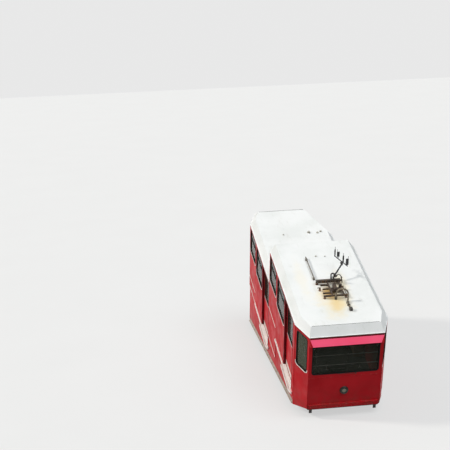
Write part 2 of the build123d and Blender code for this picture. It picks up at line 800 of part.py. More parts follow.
def axle(y):
    inner = HALF_GAUGE - HUB_HALF - WHEEL_SEAT_SPARE
    outer = HALF_GAUGE + HUB_HALF + WHEEL_SEAT_SPARE
    side = [
        (JOURNAL_END, 0), (JOURNAL_END, JOURNAL_R), (outer + WHEEL_SEAT_R - JOURNAL_R, JOURNAL_R),
        (outer, WHEEL_SEAT_R), (inner, WHEEL_SEAT_R), (inner - WHEEL_SEAT_R + AXLE_R, AXLE_R),
    ]
    return Pos(0, y, AXLE_Z) * turned(side + [(-x, r) for x, r in reversed(side)])


def axle_boxes():
    boxes = []
    for _, y in AXLES:
        low = AXLE_Z - BOX_TALL / 2
        block = box(BOX_X, (y - BOX_HALF, y + BOX_HALF), (low, low + BOX_TALL))
        block -= rod((BOX_X[0] - RUN_CLEAR, y, AXLE_Z), (JOURNAL_END, y, AXLE_Z), JOURNAL_R + WHEEL_FIT)
        boxes += [block, sided(block, -1)]
    return gather(boxes)


def springs():
    """Rubber springs between the axle boxes and the humps."""
    low = AXLE_Z + BOX_TALL / 2
    middle = SOLE_IN + SOLE_THICK / 2
    found = []
    for _, y in AXLES:
        for offset in (-SPRING_GAP, SPRING_GAP):
            spring = rod((middle, y + offset, low), (middle, y + offset, HORN_TOP), SPRING_R)
            found += [spring, sided(spring, -1)]
    return gather(found)


def rail_brakes():
    """Calipers over the rail head of the guided side."""
    top = SOLE_BOTTOM + BEAM_INSET
    half = BRAKE_WIDE / 2
    slot = RAIL_HEAD / 2 + RUN_CLEAR
    profile = [
        (HALF_GAUGE - half, BRAKE_LOW), (HALF_GAUGE - slot, BRAKE_LOW),
        (HALF_GAUGE - slot, BRAKE_SLOT_TOP), (HALF_GAUGE + slot, BRAKE_SLOT_TOP),
        (HALF_GAUGE + slot, BRAKE_LOW), (HALF_GAUGE + half, BRAKE_LOW),
        (HALF_GAUGE + half, top), (HALF_GAUGE - half, top),
    ]
    return gather([prism_y(profile, y - BRAKE_BACK, y - BRAKE_BACK + BRAKE_LONG) for y in BRAKES])


def rope_clevis():
    """Drawbar below the uphill headstock, forked for the haul rope's pin."""
    half = CLEVIS_GAP / 2 + CLEVIS_EAR
    top = SOLE_BOTTOM + BEAM_INSET
    nose = ROPE_Y - CLEVIS_HALF_TALL
    low = ROPE_Z - CLEVIS_HALF_TALL
    high = ROPE_Z + CLEVIS_HALF_TALL
    points = [
        (nose, low), (FRAME_UP + BEAM, low), (FRAME_UP + BEAM, top),
        (FRAME_UP, top), (FRAME_UP - CLEVIS_SLOPE, high), (nose, high),
    ]
    bar = prism_x(points, -half, half)
    gap = CLEVIS_GAP / 2
    bar -= box((-gap, gap), (nose - gap, ROPE_Y + CLEVIS_SLOT_END), (0, top + gap))
    return bar - rod((-2 * half, ROPE_Y, ROPE_Z), (2 * half, ROPE_Y, ROPE_Z), ROPE_PIN_R)


# Roof collector in car axes

COLLECTOR_LOW = ROOF_TOP + INSULATOR_TALL


def above_roof(point):
    x, y, height = point
    return x, y, ROOF_TOP + height


def collector_insulators():
    places = FEET + (LOOSE_FOOT,)
    return gather([rod((x, y, ROOF_TOP), (x, y, COLLECTOR_LOW), INSULATOR_R) for x, y in places])


def collector_frame():
    """Channel beam with two spines, a front bar, rungs and the side rod."""
    high = COLLECTOR_LOW + BEAM_TALL
    frame = box(BEAM_X, BEAM_Y, (COLLECTOR_LOW, high))
    hollow_y = (BEAM_Y[0] + BEAM_PLATE, BEAM_Y[1] + BEAM_PLATE)
    frame -= box((-WIDTH, WIDTH), hollow_y, (COLLECTOR_LOW + BEAM_PLATE, high - BEAM_PLATE))
    up = (COLLECTOR_LOW, COLLECTOR_LOW + COLLECTOR_BAR)
    for x in SPINES:
        frame += box((x, x + COLLECTOR_BAR), (COLLECTOR_FRONT, BEAM_Y[0]), up)
    front_x = (FEET[0][0] - INSULATOR_R, FEET[1][0] + INSULATOR_R)
    frame += box(front_x, (COLLECTOR_FRONT, COLLECTOR_FRONT + COLLECTOR_BAR), up)
    for y, left_end, width in RUNGS:
        frame += box((left_end, SPINES[0]), (y - width / 2, y + width / 2), up)
    start, end = (above_roof(point) for point in SIDE_ROD)
    frame += rod(start, (end[0], COLLECTOR_FRONT + COLLECTOR_BAR / 2, end[2]), SIDE_ROD_R)
    lug = (SPINES[1], SIDE_ROD[0][0] + 2 * SIDE_ROD_R)
    return frame + box(lug, (SIDE_ROD[0][1] - COLLECTOR_BAR, SIDE_ROD[0][1]), up)


def spring_drum():
    """Lift spring in its drum, on a saddle between the spines, with the latch beside it."""
    start = (DRUM_X, DRUM_Y[0], ROOF_TOP + DRUM_Z)
    end = (DRUM_X, DRUM_Y[1], ROOF_TOP + DRUM_Z)
    drum = rod(start, end, DRUM_R)
    saddle_y = (DRUM_Y[0] + COLLECTOR_BAR, DRUM_Y[1] - COLLECTOR_BAR)
    drum += box((DRUM_X - DRUM_R, DRUM_X + DRUM_R), saddle_y, (COLLECTOR_LOW, ROOF_TOP + DRUM_Z))
    plate_x = (SPINES[0], SPINES[1] + COLLECTOR_BAR)
    drum += box(plate_x, saddle_y, (COLLECTOR_LOW, COLLECTOR_LOW + 2 * BEAM_PLATE))
    latch_x, latch_y, latch_z = LATCH
    return drum + box(latch_x, latch_y, (latch_z[0] + ROOF_TOP, latch_z[1] + ROOF_TOP))


def collector_cheek():
    """Arched cheek behind the beam, with the boss and the pin that the arm turns on."""
    middle_x, middle_z = CHEEK_MIDDLE
    plane = Plane(origin=(0, CHEEK_Y[1], ROOF_TOP), x_dir=(1, 0, 0), z_dir=(0, -1, 0))
    arch = Pos(middle_x, middle_z) * (Circle(CHEEK_R) - Circle(CHEEK_R - CHEEK_LEG))
    arch -= Pos(middle_x, middle_z - CHEEK_R) * Rectangle(3 * CHEEK_R, 2 * CHEEK_R)
    leg_tall = middle_z - INSULATOR_TALL
    leg = Rectangle(CHEEK_LEG, leg_tall)
    leg_off = CHEEK_R - CHEEK_LEG / 2
    leg_middle = INSULATOR_TALL + leg_tall / 2
    outline = arch + Pos(middle_x - leg_off, leg_middle) * leg + Pos(middle_x + leg_off, leg_middle) * leg
    boss_r = PIVOT_TUBE_R + RUN_CLEAR
    outline += Pos(PIVOT[0], PIVOT[2]) * Circle(boss_r)
    neck = (middle_x + leg_off, PIVOT[0])
    outline += Pos(sum(neck) / 2, PIVOT[2]) * Rectangle(neck[1] - neck[0], 1.6 * boss_r)
    cheek = extrude(plane * outline, CHEEK_Y[1] - CHEEK_Y[0])
    foot_x = (middle_x - CHEEK_R, middle_x + CHEEK_R)
    cheek += box(foot_x, (BEAM_Y[0], CHEEK_Y[1]), (COLLECTOR_LOW, COLLECTOR_LOW + BEAM_PLATE))
    pin_end = PIVOT[1] + PIVOT_LONG / 2 + RUN_CLEAR
    pin_z = ROOF_TOP + PIVOT[2]
    return cheek + rod((PIVOT[0], CHEEK_Y[0], pin_z), (PIVOT[0], pin_end, pin_z), PIVOT_PIN_R)


def collector_base():
    """Everything that stands on the insulators, and the loose foot's hook."""
    base = collector_frame() + spring_drum() + collector_cheek()
    foot, top = (above_roof(point) for point in LEVER)
    base += rod(foot, top, LEVER_R)
    stub_x = (BEAM_X[1] - BEAM_PLATE, LEVER[0][0])
    stub_y = (LEVER[0][1] - LEVER_R, LEVER[0][1] + LEVER_R)
    high = COLLECTOR_LOW + COLLECTOR_BAR
    base += box(stub_x, stub_y, (COLLECTOR_LOW, high))
    x, y = LOOSE_FOOT
    hook_y = (y - LEVER_R, y + LEVER_R)
    hook = box((x - INSULATOR_R / 2, x + INSULATOR_R / 2), hook_y, (COLLECTOR_LOW, high))
    hook += box((x - 2 * INSULATOR_R, x), hook_y, (high - BEAM_PLATE, high))
    return gather([base, hook])


def collector_arm():
    """Arm from its pivot tube to the head's pin."""
    x, y, z = above_roof(PIVOT)
    elbow = above_roof(ELBOW)
    half = PIVOT_LONG / 2 - RUN_CLEAR
    arm = rod((x, y - half, z), (x, y + half, z), PIVOT_TUBE_R) + rod((x, y, z), elbow, ARM_R)
    arm -= rod((x, y - PIVOT_LONG, z), (x, y + PIVOT_LONG, z), PIVOT_PIN_R + PIN_PLAY)
    pin = (elbow[1] + ELBOW_PIN[0], elbow[1] + ELBOW_PIN[1])
    return arm + rod((elbow[0], pin[0], elbow[2]), (elbow[0], pin[1], elbow[2]), ARM_R)


def collector_head():
    """Slim rail with four contact forks, on a sleeve round the arm's pin."""
    elbow = above_roof(ELBOW)
    z = elbow[2] + HEAD_LIFT
    far = (HEAD_FAR[0], HEAD_FAR[1], z)
    near = (HEAD_NEAR[0], HEAD_NEAR[1], z)
    head = rod(far, near, HEAD_R)
    for share, width, foot, horn in FORKS:
        x = far[0] + (near[0] - far[0]) * share
        y = far[1] + (near[1] - far[1]) * share
        deep = (y - BLADE_THICK / 2, y + BLADE_THICK / 2)
        head += box((x - BLADE_THICK / 2, x + BLADE_THICK / 2), deep, (z, z + foot + BLADE_THICK))
        head += box((x - width / 2, x + width / 2), deep, (z + foot, z + FORK_TALL))
        horn_foot = z + FORK_TALL - BLADE_THICK
        head += rod((x + horn, y, horn_foot), (x + horn, y, z + FORK_TALL + HORN_TALL), HORN_R)
    middle = elbow[1] + sum(SLEEVE) / 2
    link_x = far[0] + (near[0] - far[0]) * (far[1] - middle) / (far[1] - near[1])
    head += rod((elbow[0], middle, elbow[2]), (link_x, middle, z), LINK_R)
    sleeve = (elbow[1] + SLEEVE[0], elbow[1] + SLEEVE[1])
    head += rod((elbow[0], sleeve[0], elbow[2]), (elbow[0], sleeve[1], elbow[2]), ARM_R + SLEEVE_WALL)
    bore = (sleeve[0] - RUN_CLEAR, sleeve[1] + RUN_CLEAR)
    return head - rod((elbow[0], bore[0], elbow[2]), (elbow[0], bore[1], elbow[2]), ARM_R + PIN_PLAY)


def hose(radius):
    """Hose along its route, each bend as large as the runs beside it allow."""
    points = [Vector(*above_roof(point)) for point in HOSE_ROUTE]
    radii = []
    for before, point, after in zip(points, points[1:], points[2:]):
        turn = (point - before).get_angle(after - point)
        run = min((point - before).length, (after - point).length)
        radii.append(HOSE_BEND_SHARE * run / tan(radians(turn / 2)))
    path = FilletPolyline(*points, radius=radii)
    section = Plane(origin=points[0], z_dir=points[1] - points[0]) * Circle(radius)
    return sweep(section, path=path), path.length, radii


def roof_glands():
    """Gland at the start of the hose, its two clips and the terminal box at its end."""
    start = above_roof(HOSE_ROUTE[0])
    end = HOSE_ROUTE[-1]
    wide, deep, tall = TERMINAL_BOX
    found = [
        rod((start[0], start[1], ROOF_TOP), start, GLAND_R),
        box((end[0] - wide / 2, end[0] + wide / 2), (end[1] - deep, end[1]), (ROOF_TOP, ROOF_TOP + tall)),
    ]
    clearance = hose(HOSE_R + SEAT_GAP)[0]
    for x, y in HOSE_CLIPS:
        block = Pos(x, y, ROOF_TOP + CLIP[2] / 2) * Box(*CLIP)
        found.append(block - clearance)
    return gather(found)


def stowed_pole():
    """Thin pole that lies along the roof on two chocks."""
    (x1, y1), (x2, y2) = POLE
    z = ROOF_TOP + POLE_LIFT
    pole = rod((x1, y1, z), (x2, y2, z), POLE_R)
    for share in (0.08, 0.92):
        x = x1 + (x2 - x1) * share
        y = y1 + (y2 - y1) * share
        pole += box((x - POLE_CHOCK, x + POLE_CHOCK), (y - POLE_CHOCK, y + POLE_CHOCK), (ROOF_TOP, z))
    return pole


# Nodes in car axes
car_nodes = {
    "floor_upper": floor_upper(),
    "floor_lower": floor_lower(),
    "inner_steps": inner_steps(),
    "end_wall_uphill": end_wall("uphill"),
    "end_wall_downhill": to_downhill(end_wall("downhill")),
    "end_apron_downhill": end_apron(),
    "rear_wall_upper": rear_wall(),
    "roof_upper": roof("uphill", SECTION_END),
    "roof_lower": to_downhill(roof("downhill", LENGTH - SECTION_END)),
    "windscreens": gather([windscreen("uphill"), to_downhill(windscreen("downhill"))]),
    "corner_glass": gather([corner_glass("uphill"), to_downhill(corner_glass("downhill"))]),
    "rear_glass": rear_glass(),
    "headlamps": gather([headlamp(), to_downhill(headlamp())]),
    "headlamp_lenses": gather([headlamp_lens(), to_downhill(headlamp_lens())]),
    "driver_desks": gather([driver_desk(), to_downhill(driver_desk())]),
    "grab_poles": grab_poles(),
    "floor_bearers_upper": floor_bearers(0.0),
    "floor_bearers_lower": floor_bearers(-STEP),
    "collector_insulators": collector_insulators(),
    "collector_base": collector_base(),
    "collector_arm": collector_arm(),
    "collector_head": collector_head(),
    "roof_glands": roof_glands(),
    "stowed_pole": stowed_pole(),
}
hose_shape, hose_length, hose_radii = hose(HOSE_R)
car_nodes["collector_hose"] = hose_shape
for side_name, side in SIDES:
    car_nodes["side_glass_" + side_name] = sided(side_glass(side), side)
    car_nodes["skirt_" + side_name] = sided(skirt(side), side)
for section_name, section_y, floor in SECTIONS:
    for side_name, side in SIDES:
        tail = section_name + "_" + side_name
        car_nodes["side_wall_" + tail] = sided(side_wall(section_name, section_y, floor, side), side)
        car_nodes["door_" + tail] = sided(door(section_y, floor), side)
        car_nodes["door_glass_" + tail] = sided(door_glass(section_y, floor), side)
steps = [sided(door_step(y, floor), side) for _, y, floor in SECTIONS for _, side in SIDES]
rails = [sided(door_rail(y, floor), side) for _, y, floor in SECTIONS for _, side in SIDES]
car_nodes["door_steps"] = gather(steps)
car_nodes["door_rails"] = gather(rails)

# Benches: section, start, end on the left, end on the right, floor level
BENCH_START = POCKET_BAY[0] + BENCH_FROM_DOOR
STAIR_SIDE_END = STAIR_BAY[0] - BENCH_SHORT / 2
BENCHES = (
    ("upper", BENCH_START, STAIR_SIDE_END, STAIR_SIDE_END, 0.0),
    ("lower", BENCH_START + PITCH, right_side_end(PITCH, -1) - BENCH_SHORT,
     right_side_end(PITCH, 1) + BENCH_PAST_CORNER, -STEP),
)
for name, start, left_end, right_end, floor in BENCHES:
    left_bench = sided(bench(start, left_end, floor), -1)
    car_nodes["benches_" + name] = gather([left_bench, bench(start, right_end, floor)])

# Nodes in track axes
track_nodes = {
    "sole_bars": sole_bars(),
    "cross_beams": cross_beams(),
    "axle_boxes": axle_boxes(),
    "axle_springs": springs(),
    "rail_brakes": rail_brakes(),
    "rope_clevis": rope_clevis(),
}
for name, y in AXLES:
    track_nodes["axle_" + name] = axle(y)
    track_nodes["wheels_" + name] = wheels(y)

# The car axes are tilted onto the track, and the whole is centred along it
TILT = Pos(0, 0, FLOOR_ABOVE_FLANGE) * Rot(SLOPE, 0, 0)
nodes = {name: TILT * shape for name, shape in car_nodes.items()}
nodes.update(track_nodes)
boxes = [shape.bounding_box() for shape in nodes.values()]
middle_y = (min(b.min.Y for b in boxes) + max(b.max.Y for b in boxes)) / 2

os.makedirs("parts", exist_ok=True)
for name, shape in nodes.items():
    export_step(Pos(0, -middle_y, 0) * shape, "parts/" + name + ".step")
print("centre along the track", round(middle_y, 3), "slope", round(SLOPE, 4))
print("hose radii", [round(radius) for radius in hose_radii], "length", round(hose_length))
print("hose volume over its section's", round(hose_shape.volume / hose_length / (pi * HOSE_R ** 2), 4))
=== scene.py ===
import json
from math import cos, hypot, pi, radians, sin, tan

import bmesh
import bpy
from mathutils import Matrix, Vector


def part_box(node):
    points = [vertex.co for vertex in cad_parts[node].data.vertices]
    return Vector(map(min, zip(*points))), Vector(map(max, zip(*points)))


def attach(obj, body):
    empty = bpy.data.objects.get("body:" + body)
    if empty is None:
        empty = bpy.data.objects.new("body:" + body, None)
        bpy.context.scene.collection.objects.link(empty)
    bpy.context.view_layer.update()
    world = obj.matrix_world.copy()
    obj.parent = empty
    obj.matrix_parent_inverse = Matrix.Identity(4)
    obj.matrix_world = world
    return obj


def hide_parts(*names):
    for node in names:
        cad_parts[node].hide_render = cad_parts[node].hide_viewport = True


# Funicular car: finishes, fittings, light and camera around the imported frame.
# Lengths are in metres. Pieces are drawn in car axes (X across, Y level and downhill from
# the uphill face, Z plumb from the upper floor) or in track axes, then turned into the frame's.

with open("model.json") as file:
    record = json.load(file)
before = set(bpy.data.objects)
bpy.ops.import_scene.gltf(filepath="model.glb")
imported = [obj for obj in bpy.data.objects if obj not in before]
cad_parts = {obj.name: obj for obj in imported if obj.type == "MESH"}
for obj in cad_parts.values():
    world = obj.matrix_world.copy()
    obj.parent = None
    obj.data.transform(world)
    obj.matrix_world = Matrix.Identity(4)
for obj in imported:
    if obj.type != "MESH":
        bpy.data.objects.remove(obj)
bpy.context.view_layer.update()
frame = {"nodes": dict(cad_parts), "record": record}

# Sizes of the body
PITCH = 3.24
STEP = 0.94
SLOPE = 16.1787
FLOOR_ABOVE_FLANGE = 0.25
HALF = 1.075
CORNER = (0.22, 0.58)
OUTER_CORNER = (0.476, 1.52)
SECTION_END = 4.03
LENGTH = 7.85
EAVE = 1.96
ROOF_TOP = 2.14
LAMP_HEIGHT = 0.462
DOORWAY = (0.82, 1.835)
DOORWAY_TOP = 1.885
DOOR_RECESS = 0.062
WINDOW_TOP = 1.87
WINDOW_RADIUS = 0.06
POCKET_WINDOW = ((1.925, 2.865), (1.065, 1.87))
STAIR_WINDOW = ((3.045, 3.94), (1.175, 1.87))
DOOR_WINDOW = ((0.905, 1.75), (0.99, 1.78))
CORNER_SILL = 0.975
WINDSCREEN_UP = (0.95, 1.735)
REAR_WINDOW_LOW = EAVE - STEP + 0.27
SCREEN_MARGIN = 0.085
PILLAR = 0.09
OUTER_FIRST_PANE = 0.44
AXLES = (("uphill", 1.7), ("downhill", 6.05))
AXLE_Z = 0.275

# Sections: place along the car and height of the floor
SECTIONS = (("upper", 0, 0), ("lower", PITCH, -STEP))
SIDES = (("left", -1), ("right", 1))
DOORWAYS = [(section + "_" + name, side, Matrix.Translation((0, y, floor)))
            for section, y, floor in SECTIONS for name, side in SIDES]

UP = (0, 0, 1)
DOWN = (0, 0, -1)
UPHILL = (0, -1, 0)
DOWNHILL = (0, 1, 0)


def axle_middle():
    low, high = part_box("axle_uphill")
    return (low[1] + high[1]) / 2


SHIFT_Y = axle_middle() - AXLES[0][1]
TRACK_AXES = Matrix.Translation((0, SHIFT_Y, 0))
TILT = Matrix.Rotation(radians(SLOPE), 4, "X")
CAR_AXES = Matrix.Translation((0, SHIFT_Y, FLOOR_ABOVE_FLANGE)) @ TILT
DOWNHILL_END = Matrix.Translation((0, LENGTH, -STEP)) @ Matrix.Rotation(pi, 4, "Z")

# Ends as they are drawn: place, then the left and the right corner panel as (across, along)
ENDS = ((Matrix(), (CORNER, CORNER)), (DOWNHILL_END, (OUTER_CORNER, CORNER)))


# Finishes

FINISHES = {}


def rgb(red, green, blue):
    """A colour from its display values, 0 to 255."""
    def linear(value):
        value /= 255
        return value / 12.92 if value <= 0.04045 else ((value + 0.055) / 1.055) ** 2.4
    return (linear(red), linear(green), linear(blue), 1)


class Tree:
    """A node tree under short names, and the colour that its stains build up."""

    def __init__(self, owner, colour=None, axes="Object"):
        owner.use_nodes = True
        self.owner = owner
        self.colour = colour
        self.nodes = owner.node_tree.nodes
        self.place = self.add("TexCoord", axes)

    def put(self, socket, value):
        if isinstance(value, bpy.types.NodeSocket):
            self.owner.node_tree.links.new(value, socket)
        elif isinstance(value, tuple) and socket.type == "RGBA":
            socket.default_value = rgb(*value)
        else:
            socket.default_value = value

    def add(self, kind, output, inputs=(), **settings):
        """One output of a new node."""
        node = self.nodes.new("ShaderNode" + kind)
        for key, value in settings.items():
            setattr(node, key, value)
        for key, value in dict(inputs).items():
            self.put(node.inputs[key], value)
        return node.outputs[output]

    def band(self, value, low, high, reach=(0, 1)):
        """A value turned to 0..1, or to another reach, between low and high."""
        inputs = {"Value": value, "From Min": low, "From Max": high, "To Min": reach[0], "To Max": reach[1]}
        return self.add("MapRange", "Result", inputs, interpolation_type="SMOOTHSTEP")

    def noise(self, scale, detail, rough=0.55, place=None):
        inputs = {"Vector": place or self.place, "Scale": scale, "Detail": detail, "Roughness": rough}
        return self.add("TexNoise", "Fac", inputs)

    def patches(self, scale, detail, low, high, reach=(0, 1), rough=0.55, place=None):
        """Noise cut to soft patches."""
        return self.band(self.noise(scale, detail, rough, place), low, high, reach)

    def stretched(self, scale):
        """Texture places with each axis scaled on its own."""
        return self.add("Mapping", "Vector", {"Vector": self.place, "Scale": scale})

    def part(self, axis, vector=None):
        return self.add("SeparateXYZ", axis, {"Vector": vector or self.place})

    def maths(self, operation, first, second):
        return self.add("Math", 0, {0: first, 1: second}, operation=operation)

    def product(self, first, second):
        return self.maths("MULTIPLY", first, second)

    def stain(self, share, shade):
        """Mixes a share of a shade into the colour."""
        self.colour = self.add("Mix", 2, {0: share, 6: self.colour, 7: shade}, data_type="RGBA")

    def bump(self, height, strength, distance, normal=None):
        inputs = {"Height": height, "Strength": strength, "Distance": distance}
        return self.add("Bump", "Normal", inputs if normal is None else dict(inputs, Normal=normal))

    def soft_edges(self, radius):
        return self.add("Bevel", "Normal", {"Radius": radius}, samples=4)

    def edge_wear(self, radius):
        """1 along sharp edges, 0 on flats, from the turn between true and softened normals."""
        normals = {0: self.soft_edges(radius), 1: self.add("NewGeometry", "Normal")}
        return self.band(self.add("VectorMath", "Value", normals, operation="DOT_PRODUCT"), 0.985, 0.8)

    def finish(self, rough, normal=None, **constants):
        """Ends a material: its colour, gloss and relief, and what is the same all over it."""
        inputs = self.nodes["Principled BSDF"].inputs
        self.put(inputs["Base Color"], self.colour)
        self.put(inputs["Roughness"], rough)
        if normal is not None:
            self.put(inputs["Normal"], normal)
        for key, value in constants.items():
            self.put(inputs[key.replace("_", " ")], value)


def surface(name, base):
    """The tree of a new material of one colour, which is kept among the finishes by its name."""
    FINISHES[name] = bpy.data.materials.new(name)
    return Tree(FINISHES[name], base)


def painted(name, base, shade, chalk, rough=0.46, shine=0.14, **constants):
    """Coach paint: slow drift in shade, chalky patches, dust low down and chipped edges."""
    tree = surface(name, base)
    tree.stain(tree.patches(1.3, 5, 0.35, 0.68), shade)
    streaks = tree.patches(1, 6, 0.56, 0.76, (0, 0.1), 0.6, tree.stretched((9, 9, 0.8)))
    tree.stain(streaks, chalk)
    low = tree.band(tree.part("Z"), 0.95, 0.15, (0, 0.34))
    tree.stain(tree.product(low, tree.patches(6, 6, 0.3, 0.7)), (96, 74, 62))
    wear = tree.product(tree.edge_wear(0.006), tree.patches(23, 5, 0.52, 0.62))
    tree.stain(wear, (170, 140, 128))
    orange_peel = tree.bump(tree.noise(160, 2), 0.03, 0.001, tree.soft_edges(0.004))
    waves = tree.bump(tree.noise(1.8, 2), 0.12, 0.02, orange_peel)
    gloss = tree.patches(4, 5, 0.3, 0.7, (rough - 0.06, rough + 0.16))
    tree.finish(gloss, waves, Specular_IOR_Level=shine, **constants)


# Rust and brake dust round the collector: middle, half sizes, strength, colour
STAINS = (
    (-0.02, 1.36, 0.56, 1.05, 0.55, (246, 222, 160)),
    (-0.03, 1.06, 0.25, 0.48, 0.54, (232, 196, 112)),
    (-0.1, 1.56, 0.22, 0.38, 0.78, (208, 162, 78)),
    (0.3, 2.05, 0.24, 0.55, 0.42, (244, 222, 164)),
    (-0.62, 2.2, 0.2, 1.2, 0.2, (246, 230, 190)),
)


def stain_roof(tree):
    """Rust and brake dust below, before and beside the roof collector."""
    ragged = tree.patches(2.4, 5, 0.25, 0.75, (-0.22, 0.22), 0.6)
    for x, y, half, long, strength, shade in STAINS:
        centre = CAR_AXES @ Vector((x, y, ROOF_TOP))
        across = tree.maths("DIVIDE", tree.maths("SUBTRACT", tree.part("X"), centre.x), half)
        along = tree.maths("DIVIDE", tree.maths("SUBTRACT", tree.part("Y"), centre.y), long)
        spot = tree.add("CombineXYZ", "Vector", {"X": across, "Y": along})
        far = tree.add("VectorMath", "Value", {0: spot}, operation="LENGTH")
        tree.stain(tree.band(tree.maths("ADD", far, ragged), 1.05, 0.1, (0, strength)), shade)


def roof_sheet(name):
    """Weathered white sheet with rain marks and the collector's rust."""
    tree = surface(name, (238, 239, 237))
    tree.stain(tree.patches(0.9, 6, 0.36, 0.66), (229, 231, 228))
    runs = tree.patches(1, 7, 0.55, 0.75, (0, 0.3), 0.62, tree.stretched((7, 0.7, 7)))
    tree.stain(runs, (200, 200, 190))
    tree.stain(tree.patches(48, 3, 0.7, 0.78, (0, 0.5)), (160, 156, 140))
    stain_roof(tree)
    edges = tree.product(tree.edge_wear(0.008), tree.patches(14, 5, 0.52, 0.66, (0, 0.5)))
    tree.stain(edges, (176, 174, 164))
    dents = tree.bump(tree.noise(2.2, 3), 0.18, 0.02, tree.soft_edges(0.008))
    tree.finish(tree.patches(5, 5, 0.3, 0.7, (0.46, 0.66)), dents, Specular_IOR_Level=0.06)


def glass(name, tint_and_inner_shade, film, cover, index):
    """Tinted pane with a film of dust in patches; the dark tint also paints the shade inside the car."""
    tree = surface(name, tint_and_inner_shade)
    tree.stain(tree.patches(2.6, 6, 0.42, 0.72, (0, 0.16)), film)
    ripple = tree.bump(tree.noise(1.2, 1), 0.05, 0.02)
    tree.finish(tree.patches(7, 5, 0.35, 0.7, (0.03, 0.14)), ripple, Alpha=cover, IOR=index)


def studded_rubber(name):
    """Grey studded rubber floor, scuffed."""
    tree = surface(name, (84, 84, 82))
    tree.stain(tree.patches(5, 6, 0.35, 0.7), (62, 62, 62))
    studs = tree.add("TexVoronoi", "Distance", {"Vector": tree.place, "Scale": 38, "Randomness": 0})
    tree.finish(0.62, tree.bump(tree.band(studs, 0.42, 0.28), 0.5, 0.003))


def chequered(name, base, worn, metallic):
    """Pale chequered aluminium, bare or painted."""
    tree = surface(name, base)
    tree.stain(tree.patches(7, 6, 0.35, 0.7), worn)
    wave = tree.add("TexWave", "Fac", {"Vector": tree.place, "Scale": 26}, bands_direction="DIAGONAL")
    raised = tree.bump(tree.band(wave, 0.72, 0.9), 0.3, 0.002, tree.soft_edges(0.003))
    tree.stain(tree.patches(19, 5, 0.62, 0.8, (0, 0.35)), (150, 136, 122))
    tree.finish(0.46, raised, Metallic=metallic)


def bare_metal(name, base, dark, rough, metallic=0.9):
    """Brushed metal with fine lines, smudges and softened edges."""
    tree = surface(name, base)
    tree.stain(tree.patches(9, 5, 0.35, 0.7), dark)
    lines = tree.noise(90, 3, 0.6, tree.stretched((1, 1, 0.12)))
    gloss = tree.patches(13, 4, 0.3, 0.7, (rough, rough + 0.18))
    tree.finish(gloss, tree.bump(lines, 0.08, 0.001, tree.soft_edges(0.002)), Metallic=metallic)


def rusty_metal(name, base, rust, amount):
    """Steel or paint with rust and grease patches."""
    tree = surface(name, rust)
    patch = tree.patches(11, 8, amount + 0.12, amount - 0.06, rough=0.65)
    tree.stain(patch, base)
    tree.stain(tree.patches(4, 5, 0.5, 0.7, (0, 0.6)), (34, 30, 28))
    pits = tree.bump(tree.noise(70, 6), 0.25, 0.002, tree.soft_edges(0.003))
    tree.finish(tree.band(patch, 0, 1, (0.82, 0.5)), pits, Metallic=0.35)


def moulded(name, base, shade, rough, grain=220, dusty=0.25, shine=0.5):
    """Grained plastic or rubber."""
    tree = surface(name, base)
    tree.stain(tree.patches(4, 5, 0.35, 0.7), shade)
    tree.stain(tree.patches(8, 6, 0.55, 0.8, (0, dusty)), (140, 132, 122))
    leather = tree.bump(tree.noise(grain, 2), 0.15, 0.001, tree.soft_edges(0.004))
    tree.finish(rough, leather, Specular_IOR_Level=shine)


def porcelain(name):
    """Brown glaze, dusty on top."""
    tree = surface(name, (112, 64, 40))
    tree.stain(tree.patches(12, 5, 0.4, 0.7), (150, 98, 62))
    rise = tree.part("Z", tree.add("NewGeometry", "Normal"))
    tree.stain(tree.band(rise, 0.4, 1, (0, 0.5)), (176, 156, 126))
    tree.finish(tree.patches(20, 4, 0.3, 0.7, (0.15, 0.4)))


def fluted_glass(name):
    """Headlamp glass with upright flutes."""
    tree = surface(name, (112, 110, 84))
    wave = tree.add("TexWave", "Fac", {"Vector": tree.place, "Scale": 24}, bands_direction="X")
    tree.stain(wave, (150, 148, 118))
    tree.finish(0.12, tree.bump(wave, 0.5, 0.004), Coat_Weight=0.3)


